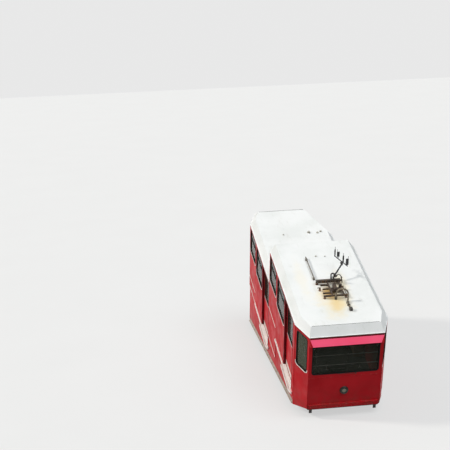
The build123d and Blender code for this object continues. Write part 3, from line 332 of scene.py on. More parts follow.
def make_finishes():
    painted("red_paint", (204, 30, 40), (188, 22, 32), (214, 70, 66))
    # Dark red for the apron grille, and painted shade in the strips under the gutters and at the hoods' tops
    painted("gutter_paint", (120, 20, 30), (96, 16, 26), (150, 60, 60), 0.45)
    # Darker red that paints the shade on the doorways' recessed jambs
    painted("jamb_paint", (132, 22, 34), (112, 18, 30), (160, 62, 66), 0.4)
    # Pink hood paint with a painted glow: a weak emission stands in for sunlight on the hood, which is no
    # lamp
    painted("hood_paint", (255, 84, 122), (252, 70, 108), (255, 130, 156), 0.34, 0.5,
            Emission_Color=(255, 92, 132), Emission_Strength=0.32)
    roof_sheet("roof_paint")
    glass("window_glass", (54, 58, 50), (120, 118, 106), 0.56, 1.12)
    glass("side_glass", (62, 66, 56), (150, 148, 134), 0.5, 1.4)
    glass("corner_glass", (82, 90, 70), (150, 152, 132), 0.56, 1.2)
    studded_rubber("floor_cover")
    chequered("step_metal", (244, 240, 232), (226, 220, 210), 0.15)
    # Near-white tread paint, as pale as it goes so that it also stands in for sunlight on the level treads:
    # partly a painted highlight
    chequered("tread_paint", (255, 253, 248), (246, 242, 234), 0)
    bare_metal("lamp_rim", (70, 70, 66), (44, 44, 42), 0.35)
    bare_metal("pole_steel", (206, 206, 200), (176, 176, 170), 0.2)
    bare_metal("trim_metal", (240, 234, 228), (214, 206, 198), 0.32, 0.3)
    bare_metal("flange_metal", (196, 184, 172), (158, 146, 134), 0.4, 0.5)
    bare_metal("bolt_metal", (150, 146, 138), (112, 104, 94), 0.4)
    bare_metal("mirror_glass", (236, 240, 240), (220, 226, 226), 0.04)
    rusty_metal("frame_paint", (60, 57, 55), (96, 64, 44), 0.57)
    rusty_metal("wheel_steel", (112, 106, 100), (92, 58, 40), 0.5)
    rusty_metal("collector_metal", (74, 62, 54), (128, 90, 46), 0.585)
    rusty_metal("pole_paint", (118, 112, 102), (104, 84, 62), 0.62)
    rusty_metal("contact_metal", (62, 62, 66), (96, 78, 58), 0.66)
    moulded("desk_plastic", (52, 54, 56), (40, 42, 44), 0.55)
    moulded("seat_plastic", (190, 146, 92), (168, 124, 74), 0.42, 60)
    moulded("spring_rubber", (30, 30, 30), (44, 42, 40), 0.7)
    moulded("moulded_black", (44, 42, 40), (60, 56, 50), 0.6)
    moulded("hose_rubber", (150, 138, 118), (120, 106, 86), 0.6)
    moulded("black_rubber", (18, 18, 18), (28, 27, 26), 0.6, dusty=0.06, shine=0.12)
    moulded("vent_paint", (196, 194, 184), (176, 172, 160), 0.6)
    moulded("light_cover", (238, 236, 226), (226, 224, 214), 0.3, 30, 0.1)
    moulded("ceiling_panel", (206, 204, 196), (190, 188, 180), 0.6, 40)
    porcelain("insulator")
    fluted_glass("lamp_glass")


# Nodes whose finish isn't plainly that of their slot
NODE_LOOKS = (
    ("collector_head", "contact_metal"), ("collector_arm", "contact_metal"), ("door_steps", "tread_paint"),
    ("side_glass", "side_glass"), ("door_glass", "side_glass"), ("corner_glass", "corner_glass"),
    ("inner_steps", "step_metal"), ("door_rails", "frame_paint"),
)


def finish_nodes():
    """Puts the finish of its slot, or its own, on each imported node."""
    slots = {part["node"]: part["material_slot"] for part in frame["record"]["subparts"]}
    for name, thing in frame["nodes"].items():
        look = next((look for start, look in NODE_LOOKS if name.startswith(start)), slots[name])
        thing.data.materials.clear()
        thing.data.materials.append(FINISHES[look])


# Camera, floor and light

# Solved from the car's own lines, for an image 450 by 450
CAMERA_LENS = 86.31
CAMERA_PLACE = (-5.3238, -26.9525, 9.6209)
CAMERA_TURN = (78.0823, 2.081, -7.1609)

GROUND_HALF = 90
GROUND_SHOWN = 0.57
BACKDROP = 0.81
SKY = (0.93, 0.96, 1, 1)
SKY_LOW = 0.12
SKY_HIGH = 0.46

# Lamps: strength, spread in degrees, colour, direction towards it
LAMPS = (
    ("key", 2.05, 8, (1, 0.97, 0.92), (-0.78, 0.12, 0.61)),
    ("fill", 1.5, 40, (0.94, 0.97, 1), (0.3, -0.48, 0.82)),
)


def add_to_scene(name, data):
    thing = bpy.data.objects.new(name, data)
    bpy.context.collection.objects.link(thing)
    return thing


def add_camera():
    camera = add_to_scene("camera", bpy.data.cameras.new("camera"))
    camera.data.lens = CAMERA_LENS
    camera.data.sensor_width = 36
    camera.location = CAMERA_PLACE
    camera.rotation_euler = [radians(angle) for angle in CAMERA_TURN]
    bpy.context.scene.camera = camera
    bpy.context.scene.view_settings.view_transform = "Standard"


def seen_rays(tree):
    """1 for rays that show the background: from the camera, in mirrors and through glass."""
    camera, glossy, through = (tree.add("LightPath", "Is " + kind + " Ray")
                               for kind in ("Camera", "Glossy", "Transmission"))
    return tree.maths("MAXIMUM", tree.maths("MAXIMUM", camera, glossy), through)


def add_floor():
    """Ground in the track's plane: pale with the car's shadow where it is seen, plain grey to the light."""
    mesh = bpy.data.meshes.new("ground")
    corners = [(x * GROUND_HALF, y * GROUND_HALF, 0) for x, y in ((-1, -1), (1, -1), (1, 1), (-1, 1))]
    mesh.from_pydata(corners, [], [(0, 1, 2, 3)])
    tree = surface("ground_plain", (134, 134, 132))
    tree.stain(tree.noise(0.4, 3), (140, 140, 138))
    tree.finish(0.9, Specular_IOR_Level=0.1, Emission_Color=(255, 255, 255),
                Emission_Strength=tree.product(seen_rays(tree), GROUND_SHOWN))
    mesh.materials.append(FINISHES["ground_plain"])
    add_to_scene("ground", mesh)


def add_light():
    """Soft sky, brighter overhead, with a key from the left and a wide fill from above the camera."""
    world = bpy.data.worlds.new("studio")
    bpy.context.scene.world = world
    tree = Tree(world, axes="Generated")
    shown = tree.nodes["Background"]
    shown.inputs["Color"].default_value = (1, 1, 1, 1)
    shown.inputs["Strength"].default_value = BACKDROP
    reach = {"Value": tree.part("Z"), "To Min": SKY_LOW, "To Max": SKY_HIGH}
    lit = tree.add("Background", 0, {"Strength": tree.add("MapRange", "Result", reach)})
    lit.node.inputs["Color"].default_value = SKY
    both = tree.add("MixShader", 0, {0: seen_rays(tree), 1: lit, 2: shown.outputs[0]})
    tree.put(tree.nodes["World Output"].inputs["Surface"], both)
    for name, strength, spread_angle, colour, toward in LAMPS:
        light = bpy.data.lights.new(name, "SUN")
        light.energy = strength
        light.angle = radians(spread_angle)
        light.color = colour
        add_to_scene(name, light).rotation_euler = Vector(toward).to_track_quat("Z", "Y").to_euler()


# Drawing

def about(middle, half):
    return middle - half, middle + half


def moved(pair, by):
    return pair[0] + by, pair[1] + by


def spread(start, end, steps):
    """Values from start to end in equal steps."""
    return [start + (end - start) * step / steps for step in range(steps + 1)]


def scaled(profile, size):
    return [(across * size, along * size) for across, along in profile]


def around(radius, count, start=0):
    """Points evenly round a circle, from an angle in degrees."""
    turns = [radians(start + 360 * step / count) for step in range(count)]
    return [(radius * cos(turn), radius * sin(turn)) for turn in turns]


def circle(centre, side, other, radius, sides):
    """Points round a centre, from one direction towards another."""
    return [centre + side * u + other * v for u, v in around(radius, sides)]


def facing(at, out):
    """A place whose local Z points in a direction."""
    return Matrix.Translation(at) @ Vector(out).to_track_quat("Z", "Y").to_matrix().to_4x4()


def wall_place(origin, right, out):
    """A place whose local X runs along a wall, Y upwards and Z out of it."""
    right, out = Vector(right).normalized(), Vector(out).normalized()
    return Matrix.Translation(origin) @ Matrix((right, out.cross(right), out)).transposed().to_4x4()


def neighbours(path, closed=False):
    """Each point of a path between the one before it and the one after it."""
    before = [path[-1] if closed else path[0]] + path[:-1]
    return zip(before, path, path[1:] + [path[0] if closed else path[-1]])


# Fixings, in parts of their radius, and where the rings of a tube begin
WASHER = ((1.35, 0), (1.35, 0.16), (1.3, 0.176))
BOLT_HEAD = ((1, 0.16), (1, 0.68), (0.8, 0.8))
RIVET_HEAD = ((1, 0), (0.94, 0.28), (0.6, 0.55), (0.15, 0.66))
FIRST_SIDE = Vector((0.31, 0.17, 0.93))


class Sketch:
    """Faces drawn for one piece, in the axes of a place."""

    def __init__(self, shape, place):
        self.shape = shape
        self.place = place

    def at(self, place):
        """The same piece, drawn on from a place within this one."""
        return Sketch(self.shape, self.place @ place)

    def placed(self, path):
        return [self.place @ Vector(point) for point in path]

    def block(self, x, y, z):
        """A block from three pairs of limits."""
        size = Matrix.Diagonal((x[1] - x[0], y[1] - y[0], z[1] - z[0], 1))
        middle = Matrix.Translation([sum(pair) / 2 for pair in (x, y, z)])
        bmesh.ops.create_cube(self.shape, size=1, matrix=self.place @ middle @ size)

    def join(self, rings, ends="capped"):
        """Faces between placed rings, whose line is capped, left open or joined to itself."""
        rings = [[self.shape.verts.new(point) for point in ring] for ring in rings]
        following = rings[1:] + rings[:1] if ends == "joined" else rings[1:]
        for here, there in zip(rings, following):
            for side in range(len(here)):
                after = (side + 1) % len(here)
                self.shape.faces.new((here[side], here[after], there[after], there[side]))
        if ends == "capped":
            self.shape.faces.new(reversed(rings[0]))
            self.shape.faces.new(rings[-1])

    def skin(self, *rings):
        """A body between outlines."""
        self.join([self.placed(ring) for ring in rings])

    def sweep(self, path, profile, up=UP, closed=False):
        """A flat profile, (outward, upward) pairs, led along a flat path with square mitres."""
        up = self.place.to_3x3() @ Vector(up)
        rings = []
        for before, point, after in neighbours(self.placed(path), closed):
            come = (point - before if before != point else after - point).normalized()
            go = (after - point).normalized() if after != point else come
            tangent = (come + go).normalized()
            side = tangent.cross(up).normalized() / max(tangent.dot(come), 0.3)
            rings.append([point + side * u + up * v for u, v in profile])
        self.join(rings, "joined" if closed else "capped")

    def tube(self, path, radius, sides=12):
        """A round bar along any path, of one radius or of several that take turns."""
        radii = radius if isinstance(radius, tuple) else (radius,)
        guide = FIRST_SIDE
        rings = []
        for number, (before, point, after) in enumerate(neighbours(self.placed(path))):
            tangent = (after - before).normalized()
            guide = (guide - tangent * guide.dot(tangent)).normalized()
            rings.append(circle(point, guide, tangent.cross(guide), radii[number % len(radii)], sides))
        self.join(rings)

    def lathe(self, profile, at=(0, 0, 0), sides=24, out=UP, ends="capped"):
        """A (radius, height) profile turned about an axis."""
        move = self.place @ facing(at, out)
        x, y, z = (move.col[axis].xyz for axis in range(3))
        middles = [(move.translation + z * height, radius) for radius, height in profile]
        self.join([circle(middle, x, y, radius, sides) for middle, radius in middles], ends)

    def bolt(self, at, radius, out=UP):
        """Domed hexagon head on its washer."""
        self.lathe(scaled(WASHER, radius), at, 14, out)
        self.lathe(scaled(BOLT_HEAD, radius), at, 6, out)

    def rivet(self, at, radius, out=UP):
        self.lathe(scaled(RIVET_HEAD, radius), at, 10, out)


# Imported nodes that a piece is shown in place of
STANDS_FOR = {"insulator_ribs": "collector_insulators", "hose_ribs": "collector_hose"}


def piece(shape, body, axes, name, slot, finish=None, rounding=0):
    """Turns drawn faces into a piece that rides on a body."""
    mesh = bpy.data.meshes.new(name)
    bmesh.ops.transform(shape, matrix=axes, verts=shape.verts)
    bmesh.ops.recalc_face_normals(shape, faces=shape.faces)
    shape.to_mesh(mesh)
    shape.free()
    mesh.shade_smooth()
    mesh.set_sharp_from_angle(angle=radians(38))
    thing = add_to_scene(name, mesh)
    if rounding:
        bevel = thing.modifiers.new("rounding", "BEVEL")
        bevel.width = rounding
        bevel.segments = 2
        bevel.limit_method = "ANGLE"
        bevel.angle_limit = radians(40)
        bevel.use_clamp_overlap = True
    mesh.materials.append(FINISHES[finish or slot])
    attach(thing, body)
    if name in STANDS_FOR:
        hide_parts(STANDS_FOR[name])


def fit(draw, *pieces, body="car", axes=CAR_AXES, over=((Matrix(),),)):
    """Draws pieces, each a name, slot, finish and rounding, at every place, to ride on a body."""
    shapes = [bmesh.new() for _ in pieces]
    for place, *given in over:
        draw(*(Sketch(shape, place) for shape in shapes), *given)
    for shape, about_piece in zip(shapes, pieces):
        piece(shape, body, axes, *about_piece)


# Windows

CORNER_STEPS = 6


def rounded(across, up, radius):
    """Rounded outline, anticlockwise as seen from outside."""
    left, right = across[0] + radius, across[1] - radius
    low, high = up[0] + radius, up[1] - radius
    points = []
    for x, z, start in ((right, high, 0), (left, high, 90), (left, low, 180), (right, low, 270)):
        for angle in spread(radians(start), radians(start + 90), CORNER_STEPS):
            points.append((x + radius * cos(angle), z + radius * sin(angle), 0))
    return points


def side_place(side, distance=HALF):
    """A side wall seen from outside, with local X along the car."""
    return wall_place((side * distance, 0, 0), (0, side, 0), (side, 0, 0))


def side_span(side, along):
    """A range along the car in the local X of a side place."""
    return along if side > 0 else (-along[1], -along[0])


def face_span(corners, inset=0):
    """Range across an end face between its corner panels, moved in by an inset."""
    return corners[0][0] - HALF + inset, HALF - corners[1][0] - inset


def corner_place(corner, side):
    """A corner panel of an end as drawn, with local X along it."""
    across, along = corner
    middle = (side * (HALF - across / 2), along / 2, 0)
    return wall_place(middle, (across, side * along, 0), (side * along, -across, 0))


def corner_spans(corner, side):
    """Window ranges along a corner panel, in its local X."""
    half = hypot(*corner) / 2 - PILLAR
    if corner == CORNER:
        return [(-half, half)]
    return [side_span(side, span) for span in
            ((-half, OUTER_FIRST_PANE - half), (OUTER_FIRST_PANE + PILLAR - half, half))]


def wall_end(section, side):
    """Place along the car where a section's straight wall ends."""
    if section == "lower" and side > 0:
        return LENGTH - OUTER_CORNER[1]
    return SECTION_END + (PITCH if section == "lower" else 0)


def windows():
    """Every fixed window of the walls: place of its outline, range along it, range upwards."""
    for section, section_y, floor in SECTIONS:
        for _, side in SIDES:
            for along, up in (POCKET_WINDOW, STAIR_WINDOW):
                along = moved(along, section_y)
                if along[1] < wall_end(section, side):
                    yield side_place(side), side_span(side, along), moved(up, floor)
    for end, corners in ENDS:
        screen = end @ wall_place((0, 0, 0), (1, 0, 0), UPHILL)
        yield screen, face_span(corners, SCREEN_MARGIN), WINDSCREEN_UP
        for corner, side in zip(corners, (-1, 1)):
            for span in corner_spans(corner, side):
                yield end @ corner_place(corner, side), span, (CORNER_SILL, WINDOW_TOP)
    rear = wall_place((0, SECTION_END, 0), (-1, 0, 0), DOWNHILL)
    yield rear, face_span(ENDS[0][1], SCREEN_MARGIN), (REAR_WINDOW_LOW, WINDOW_TOP)


SEAL = ((0.013, -0.001), (0.013, 0.003), (0.008, 0.006), (-0.01, 0.003), (-0.016, -0.012), (-0.016, -0.0184),
        (0.0005, -0.0184), (0.0005, -0.001))


def window_seals(seal, across, up):
    """Rubber channel round a fixed pane."""
    seal.sweep(rounded(across, up, WINDOW_RADIUS), SEAL, closed=True)


# Drip sills: profile, then distance in from the pane's end and height at each turned-up end
SILL = ((-0.011, 0), (-0.011, 0.005), (-0.004, 0.008), (0.01, 0.008), (0.013, 0))
SILL_END = ((-0.033, 0.1), (-0.018, 0.035), (0.047, 0))
SILL_BELOW = 0.026


def window_sills(sill, across, up):
    """Pale drip sill below a window."""
    low = up[0] - SILL_BELOW
    points = [(across[0] + into, low + lift, 0) for into, lift in SILL_END]
    points += [(across[1] - into, low + lift, 0) for into, lift in reversed(SILL_END)]
    sill.sweep(points, SILL)


ALONG_CAR = 0.99
BAR_BELOW_TOP = 0.27
BAR_TALL = 0.026


def window_bars(bar, across, up):
    """Bar across a side window, below its opening top light, with two catches."""
    low = up[1] - BAR_BELOW_TOP
    top = low + BAR_TALL
    bar.block(across, (low, top), (-0.018, -0.004))
    for x in spread(*across, 4)[1::2]:
        bar.block(about(x, 0.02), (top, top + 0.024), (-0.018, -0.008))


# Roof trim

# Heights on the roof are from the upper section's roof
ON_ROOF = [(Matrix.Translation((0, 0, ROOF_TOP)),)]
TOP_HALF = 0.94
JOINT_Y = 0.193
SHEET_JOINTS = ((2.86, 0), (4.92, -STEP), (6.05, -STEP))
# Upper edges of the side bevels: drop of the roof, start, and the ends on the left and right
SHEET_EDGES = ((0, 0.72, (3.95, 3.95)), (-STEP, 4.12, (7.12, 6.2)))
# Vents: across, along, drop of the roof, radius
VENTS = (
    (-0.05, 3.28, 0, 0.026), (0.175, 3.26, 0, 0.02), (0.4, 6.24, -STEP, 0.045),
    (0.64, 6.2, -STEP, 0.034), (0.74, 6.26, -STEP, 0.034), (-0.32, 6.2, -STEP, 0.024),
)
VENT = ((1, 0), (1, 0.15), (0.65, 0.25), (0.65, 0.6), (0.9, 0.65), (0.8, 0.95), (0.2, 1.05))


def roof_rivets(rivets):
    """Rows of rivets across the sheet joints and along the bevels' upper edges."""
    for y, drop in SHEET_JOINTS:
        for x in spread(-0.92, 0.92, 32):
            for row in (-0.014, 0.014):
                rivets.rivet((x, y + row, drop), 0.004)
    for drop, start, ends in SHEET_EDGES:
        for end, side in zip(ends, (-1, 1)):
            for y in spread(start, end, round((end - start) / 0.13)):
                rivets.rivet((side * (TOP_HALF - 0.018), y, drop), 0.005)


def bevel_joints(seal, screws, corners):
    """Dark sealed joint along the top of an end bevel, with its screws."""
    low, high = face_span(corners, 0.08)
    seal.block((low, high), about(JOINT_Y, 0.006), (ROOF_TOP - 0.001, ROOF_TOP + 0.0018))
    for x in spread(low, high, round((high - low) / 0.12)):
        screws.rivet((x, JOINT_Y + 0.022, ROOF_TOP), 0.005)


def roof_fittings(vent):
    """Low vents that show as small dark marks."""
    for x, y, drop, radius in VENTS:
        vent.lathe(scaled(VENT, radius), (x, y, drop), 18)


# Profile of the strip of painted shade under the eave
EAVE_SHADE_STRIP = ((-0.004, -0.02), (0.004, -0.018), (0.004, 0), (-0.004, 0))


def eave_strips(strip, corners):
    """Dark strip of painted shade between the walls and the gutter above them, where the gutter's shadow
    falls.
    """
    left, right = corners
    back = SECTION_END if corners == ENDS[0][1] else LENGTH - SECTION_END
    plan = [(-HALF, back), (-HALF, left[1]), (left[0] - HALF, 0),
            (HALF - right[0], 0), (HALF, right[1]), (HALF, back)]
    strip.sweep([(x, y, EAVE - 0.001) for x, y in plan], EAVE_SHADE_STRIP)


# Ends

HOOD_LOW = Vector((0, -0.065, 1.741))
HOOD_HIGH = Vector((0, -0.006, 1.96))
HOOD_OUT = Vector((0, HOOD_LOW.z - HOOD_HIGH.z, HOOD_HIGH.y - HOOD_LOW.y)).normalized()
HOOD_FILM = (0.02, 0.8)
# Painted shade: a dark band at the hood's top where the gutter's lip throws its shadow
HOOD_SHADE_BAND = (0.81, 0.985)
HOOD_SLANT = 0.065


def hood_point(x, share, lift):
    """A place on the hood's slope, from its lower edge to its upper one."""
    return Vector((x, 0, 0)) + HOOD_LOW.lerp(HOOD_HIGH, share) + HOOD_OUT * lift


def hood_skins(film, band, corners):
    """Pink film on a hood, cut in at its lower corners, with a darker band above it and rivets. The film's
    finish has a painted glow, and the darker band is painted shade under the gutter's lip.
    """
    low, high = face_span(corners, 0.008)
    for shape, (near, far), slant in ((film, HOOD_FILM, HOOD_SLANT), (band, HOOD_SHADE_BAND, 0)):
        outline = ((low + slant, near), (high - slant, near), (high, far), (low, far))
        shape.skin(*([hood_point(x, share, lift) for x, share in outline] for lift in (-0.002, 0.002)))
    for share in (0.08, 0.74):
        inset = 0.03 + HOOD_SLANT * (1 - share)
        for x in spread(low + inset, high - inset, 14):
            film.rivet(hood_point(x, share, 0.002), 0.005, HOOD_OUT)


def bumper_strips(rib, corners):
    """Ribbed face on a bumper strip."""
    for z in (0.018, 0.05, 0.082):
        rib.block(face_span(corners, 0.042), (-0.0335, -0.03), (z, z + 0.018))


WIPER_FOOT = ((0.015, 0), (0.015, 0.01), (0.009, 0.016))
WIPER_ARM = ((0, -0.012, 0.918), (-0.24, -0.014, 0.934), (-0.44, -0.012, 0.944))
WIPER_BLADE = ((-0.62, -0.01, 0.962), (-0.44, -0.012, 0.96), (-0.24, -0.01, 0.962))


def wipers(metal, rubber, corners):
    """Parked wiper below a windscreen: spindle, arm and rubber blade."""
    foot = Matrix.Translation((sum(face_span(corners, SCREEN_MARGIN)) / 2 + 0.25, 0, 0))
    metal.at(foot).lathe(WIPER_FOOT, (0, -0.001, 0.918), 16, UPHILL)
    metal.at(foot).tube(WIPER_ARM, 0.0035, 8)
    rubber.at(foot).tube(WIPER_BLADE, 0.0045, 8)


def guard_rails(rail, corners):
    """Rails behind a windscreen, on small brackets at the pillars."""
    low, high = face_span(corners, SCREEN_MARGIN - 0.02)
    for z in (1.4, 1.135):
        rail.tube([(x, 0.075, z) for x in (low, high)], 0.009)
        for x in (low + 0.02, high - 0.02):
            rail.block(about(x, 0.012), (0.046, 0.082), about(z, 0.02))
    for x in (low + 0.05, high - 0.05):
        rail.block(about(x, 0.03), (0.046, 0.062), (1.6, 1.622))


LAMP_RIM = ((0.046, 0.018), (0.048, 0.022), (0.052, 0.0235), (0.072, 0.02), (0.079, 0.024), (0.084, 0.031),
            (0.091, 0.03), (0.097, 0.022), (0.1, 0.004), (0.103, 0))


def headlamp_trim(rim, _corners):
    """Rolled rim with its clamp screws round a headlamp glass."""
    lamp = rim.at(facing((0, 0, LAMP_HEIGHT), UPHILL))
    lamp.lathe(LAMP_RIM, sides=40, ends="open")
    for x, y in around(0.089, 3, 30):
        lamp.bolt((x, y, 0.03), 0.005)


def end_joints(cover, corners):
    """Rounded cover on each fold of an end, and a strip below its windscreen."""
    for (across, along), side in zip(corners, (-1, 1)):
        for x, y, low, high in ((HALF - across, 0, 0.02, 1.72), (HALF, along, -0.05, 1.935)):
            cover.tube([(side * x, y, low), (side * x, y, high)], 0.006, 10)
    cover.block(face_span(corners, 0.02), (-0.003, 0), (0.845, 0.857))


GUARD_HALF = 0.035


def rail_guards(iron, bolts, corners):
    """Guard irons hung below an end wall, with their bolts."""
    for x in face_span(corners, 0.095):
        iron.block(about(x, GUARD_HALF), (0.03, 0.042), (-0.15, 0))
        iron.block(about(x, GUARD_HALF), (0.03, 0.13), (-0.012, 0))
        iron.block(about(x, 0.006), (0.042, 0.11), (-0.095, -0.012))
        for y in (0.07, 0.112):
            bolts.bolt((x + 0.02, y, -0.012), 0.008, DOWN)


# Sides

JAMB_STRIP = ((-0.026, 0), (-0.026, 0.0035), (0.003, 0.0035), (0.003, -0.046), (0, -0.046), (0, 0))
TREAD_OUT = HALF + 0.07


def doorway_trim(strip, nosing, side):
    """Edge strip round a doorway, in a darker red that paints the shade of its recessed jamb, and rubber
    nosing on its tread.
    """
    left, right = side_span(side, DOORWAY)
    edge = ((left, 0), (left, DOORWAY_TOP), (right, DOORWAY_TOP), (right, 0))
    strip.at(side_place(side)).sweep([(x, z, 0) for x, z in edge], JAMB_STRIP)
    nosing.block((side * (TREAD_OUT - 0.028), side * TREAD_OUT), DOORWAY, (0, 0.005))


SILL_RIBS = 7
SILL_WIDE = DOOR_RECESS - 0.003
SILL_THICK = 0.0025
RIB_TALL = 0.0015


def sill_profile():
    half = SILL_WIDE / 2
    points = [(half, SILL_THICK), (half, 0), (-half, 0), (-half, SILL_THICK)]
    for number in range(SILL_RIBS):
        for share, rise in ((0.2, 0), (0.3, RIB_TALL), (0.7, RIB_TALL), (0.8, 0)):
            points.append((SILL_WIDE * (number + share) / SILL_RIBS - half, SILL_THICK + rise))
    return points


def sill_plates(plate, side):
    """Ribbed pale plate in the foot of a doorway, outside the door leaf, its near-white finish partly a
    painted highlight of sunlight.
    """
    x = side * (HALF + 0.001 - SILL_WIDE / 2)
    plate.sweep([(x, y, 0) for y in (DOORWAY[0] + 0.003, DOORWAY[1] - 0.003)], sill_profile())


MOULDING = ((-0.01, 0), (-0.01, 0.004), (-0.004, 0.009), (0.004, 0.009), (0.01, 0.004), (0.01, 0))
# Runs of moulding: side, start, end, height
MOULDING_RUNS = (
    (-1, 3, 4.02, 0.3), (1, 3, 4.02, 0.3), (-1, 6.24, 7.26, 0.3 - STEP),
    (-1, 2.97, 4.02, -0.583), (1, 2.97, 4.02, -0.583), (-1, 6.2, 7.26, -STEP - 0.045),
)


def side_mouldings(strip):
    """Pale rubbing strips: at the foot of each wall, and across each stair bay."""
    for side, start, end, height in MOULDING_RUNS:
        strip.sweep([(side * HALF, y, height) for y in (start, end)], MOULDING, (side, 0, 0))


SKIRT_FOOT = 0.155
# Skirts: side, start, end
SKIRT_ENDS = ((-1, 0.62, 7.22), (1, 0.62, 6.28))


def skirt_strips(flange, bolts):
    """Pale flange along each skirt's lower edge, bolted on."""
    for side, near, far in SKIRT_ENDS:
        back, web, out = (side * (HALF + offset) for offset in (-0.01, -0.005, 0.02))
        start, end = skirt_foot_y(near), skirt_foot_y(far)
        flange.block((back, out), (start, end), (SKIRT_FOOT, SKIRT_FOOT + 0.006))
        flange.block((back, web), (start, end), (SKIRT_FOOT + 0.006, SKIRT_FOOT + 0.095))
        for y in spread(start + 0.08, end - 0.08, round((end - start) / 0.34)):
            bolts.bolt((web, y, SKIRT_FOOT + 0.06), 0.008, (side, 0, 0))


def skirt_foot_y(y):
    """Place along the track where a plumb line of the car meets the skirts' lower edge."""
    fall = radians(SLOPE)
    return y / cos(fall) - (SKIRT_FOOT - FLOOR_ABOVE_FLANGE) * tan(fall)


# Parts of a door leaf from its section's start and floor: range along, range upwards, thickness
EDGE_RUBBER = ((0.79, 0.806), (0.02, DOORWAY_TOP), 0.01)
LEAF_METAL = (((0.87, 1.8), (0.03, 0.16), 0.002), ((0.9, 1.755), (0.956, 0.974), 0.009),
              ((0.835, 0.875), (0.98, 1.18), 0.003))
HANDLE = ((1, 0), (1.01, 0.009), (1.15, 0.009), (1.16, 0))
LEAF_SEAL = [(across * 0.9, max(out, -0.0133)) for across, out in SEAL]


def door_trim(rubber, metal, side):
    """Seal, leading edge, kick plate, sill and handle of a door leaf."""
    face = side_place(side, HALF - DOOR_RECESS)
    across, up = DOOR_WINDOW
    rubber.at(face).sweep(rounded(side_span(side, across), up, WINDOW_RADIUS), LEAF_SEAL, closed=True)
    for shape, parts in ((rubber, (EDGE_RUBBER,)), (metal, LEAF_METAL)):
        for along, height, thick in parts:
            shape.at(face).block(side_span(side, along), height, (0, thick))
    metal.at(face).tube([(side * 0.855, height, out) for height, out in HANDLE], 0.0045, 10)


# Roof collector

INSULATOR_TALL = 0.05
FEET = ((-0.243, 1.308), (0.263, 1.308), (-0.3, 1.953), (0.24, 1.953), (-0.287, 1.666))
BAR_TOP = INSULATOR_TALL + 0.036
BEAM_TOP = INSULATOR_TALL + 0.065
RUNGS = (1.434, 1.611, 1.793)
PIVOT_X = 0.17
PIVOT_Z = 0.152
INSULATOR_FOOT = ((0.03, 0), (0.03, 0.005), (0.02, 0.007))
INSULATOR_CAP = ((0.021, 0.042), (0.021, INSULATOR_TALL))
RIBS = ((0.018, 0.006), (0.019, 0.01), (0.0295, 0.013), (0.0298, 0.017), (0.02, 0.022),
        (0.019, 0.026), (0.0295, 0.029), (0.0298, 0.033), (0.02, 0.038), (0.018, 0.044))


def insulators(glaze, caps):
    """Ribbed porcelain insulators with steel caps, in place of the plain ones."""
    for x, y in FEET:
        glaze.lathe(RIBS, (x, y, 0), 28)
        caps.lathe(INSULATOR_FOOT, (x, y, 0), 20)
        caps.lathe(INSULATOR_CAP, (x, y, 0), 20)


def collector_bolts(bolts):
    """Bolts through the frame, at the rungs, along the beam and round the pivot's cheek."""
    beam_bolts = (-0.29, -0.2, -0.1, 0.02, 0.14, 0.22)
    rows = (
        ([(x, y, BAR_TOP) for x, y in FEET[:2]] + [(x, y, BEAM_TOP) for x, y in FEET[2:4]], 0.01, UP),
        ([(-0.058, y, BAR_TOP) for y in RUNGS], 0.006, UP),
        ([(x, 1.918, INSULATOR_TALL + 0.034) for x in beam_bolts], 0.007, UPHILL),
        ([(x, 2.006, INSULATOR_TALL + 0.009) for x in (0.058, 0.126)], 0.006, UP),
        ([(PIVOT_X, 2.152, PIVOT_Z)], 0.011, DOWNHILL),
        ([(PIVOT_X, 2.026, PIVOT_Z)], 0.013, UPHILL),
    )
    for places, radius, out in rows:
        for at in places:
            bolts.bolt(at, radius, out)


DRUM_X = 0.058
DRUM_Z = 0.112
DRUM_CAP = ((0.03, 0), (0.03, 0.006), (0.012, 0.008), (0.012, 0.02))
STUD = ((0.009, 0), (0.009, 0.004), (0.005, 0.005), (0.005, 0.02))
STRAP = ((0.0445, -0.006), (0.047, -0.004), (0.047, 0.004), (0.0445, 0.006))


def drum_straps(strap):
    """Ribs and straps round the spring drum, and its terminal studs."""
    for y in (1.474, 1.5, 1.56, 1.62, 1.67, 1.696):
        strap.lathe(STRAP, (DRUM_X, y, DRUM_Z), 28, DOWNHILL, "joined")
    strap.lathe(DRUM_CAP, (DRUM_X, 1.47, DRUM_Z), 20, UPHILL)
    for x, y in ((0.185, 1.665), (0.217, 1.69)):
        strap.lathe(STUD, (x, y, 0.14), 12)


SPRING_RADIUS = 0.012
SPRING_TURNS = 17
TURN_POINTS = 10


def spring_path(start, end):
    """Points of a coil spring between two points."""
    place = facing(start, end - start)
    heights = spread(0, (end - start).length, SPRING_TURNS * TURN_POINTS)
    turn = around(SPRING_RADIUS, TURN_POINTS)
    return [place @ Vector((*turn[step % TURN_POINTS], height)) for step, height in enumerate(heights)]


def collector_springs(wire):
    """Two tension springs from the drum's end to the cheek."""
    for x in (0.045, 0.085):
        start, end = Vector((x, 1.73, 0.115)), Vector((x + 0.012, 2.012, 0.165))
        wire.tube(spring_path(start, end), 0.003, 6)
        wire.tube([(x, 1.69, 0.11), start], 0.004, 8)
        wire.tube([end, (end.x, 2.027, 0.168)], 0.004, 8)


LINK_BOW = 0.05
LINK_EYE = ((0.014, -0.01), (0.016, -0.004), (0.016, 0.004), (0.014, 0.01))


def collector_link(rod):
    """Bowed release rod from the cheek's boss to the lever at the beam's end."""
    start, end = Vector((0.196, 2.038, 0.165)), Vector((0.3, 1.968, 0.15))
    rod.tube([start.lerp(end, share) + Vector((0, 0, LINK_BOW * 4 * share * (1 - share)))
              for share in spread(0, 1, 12)], 0.009, 10)
    for at in (start, end):
        rod.lathe(LINK_EYE, at, 16, DOWNHILL)


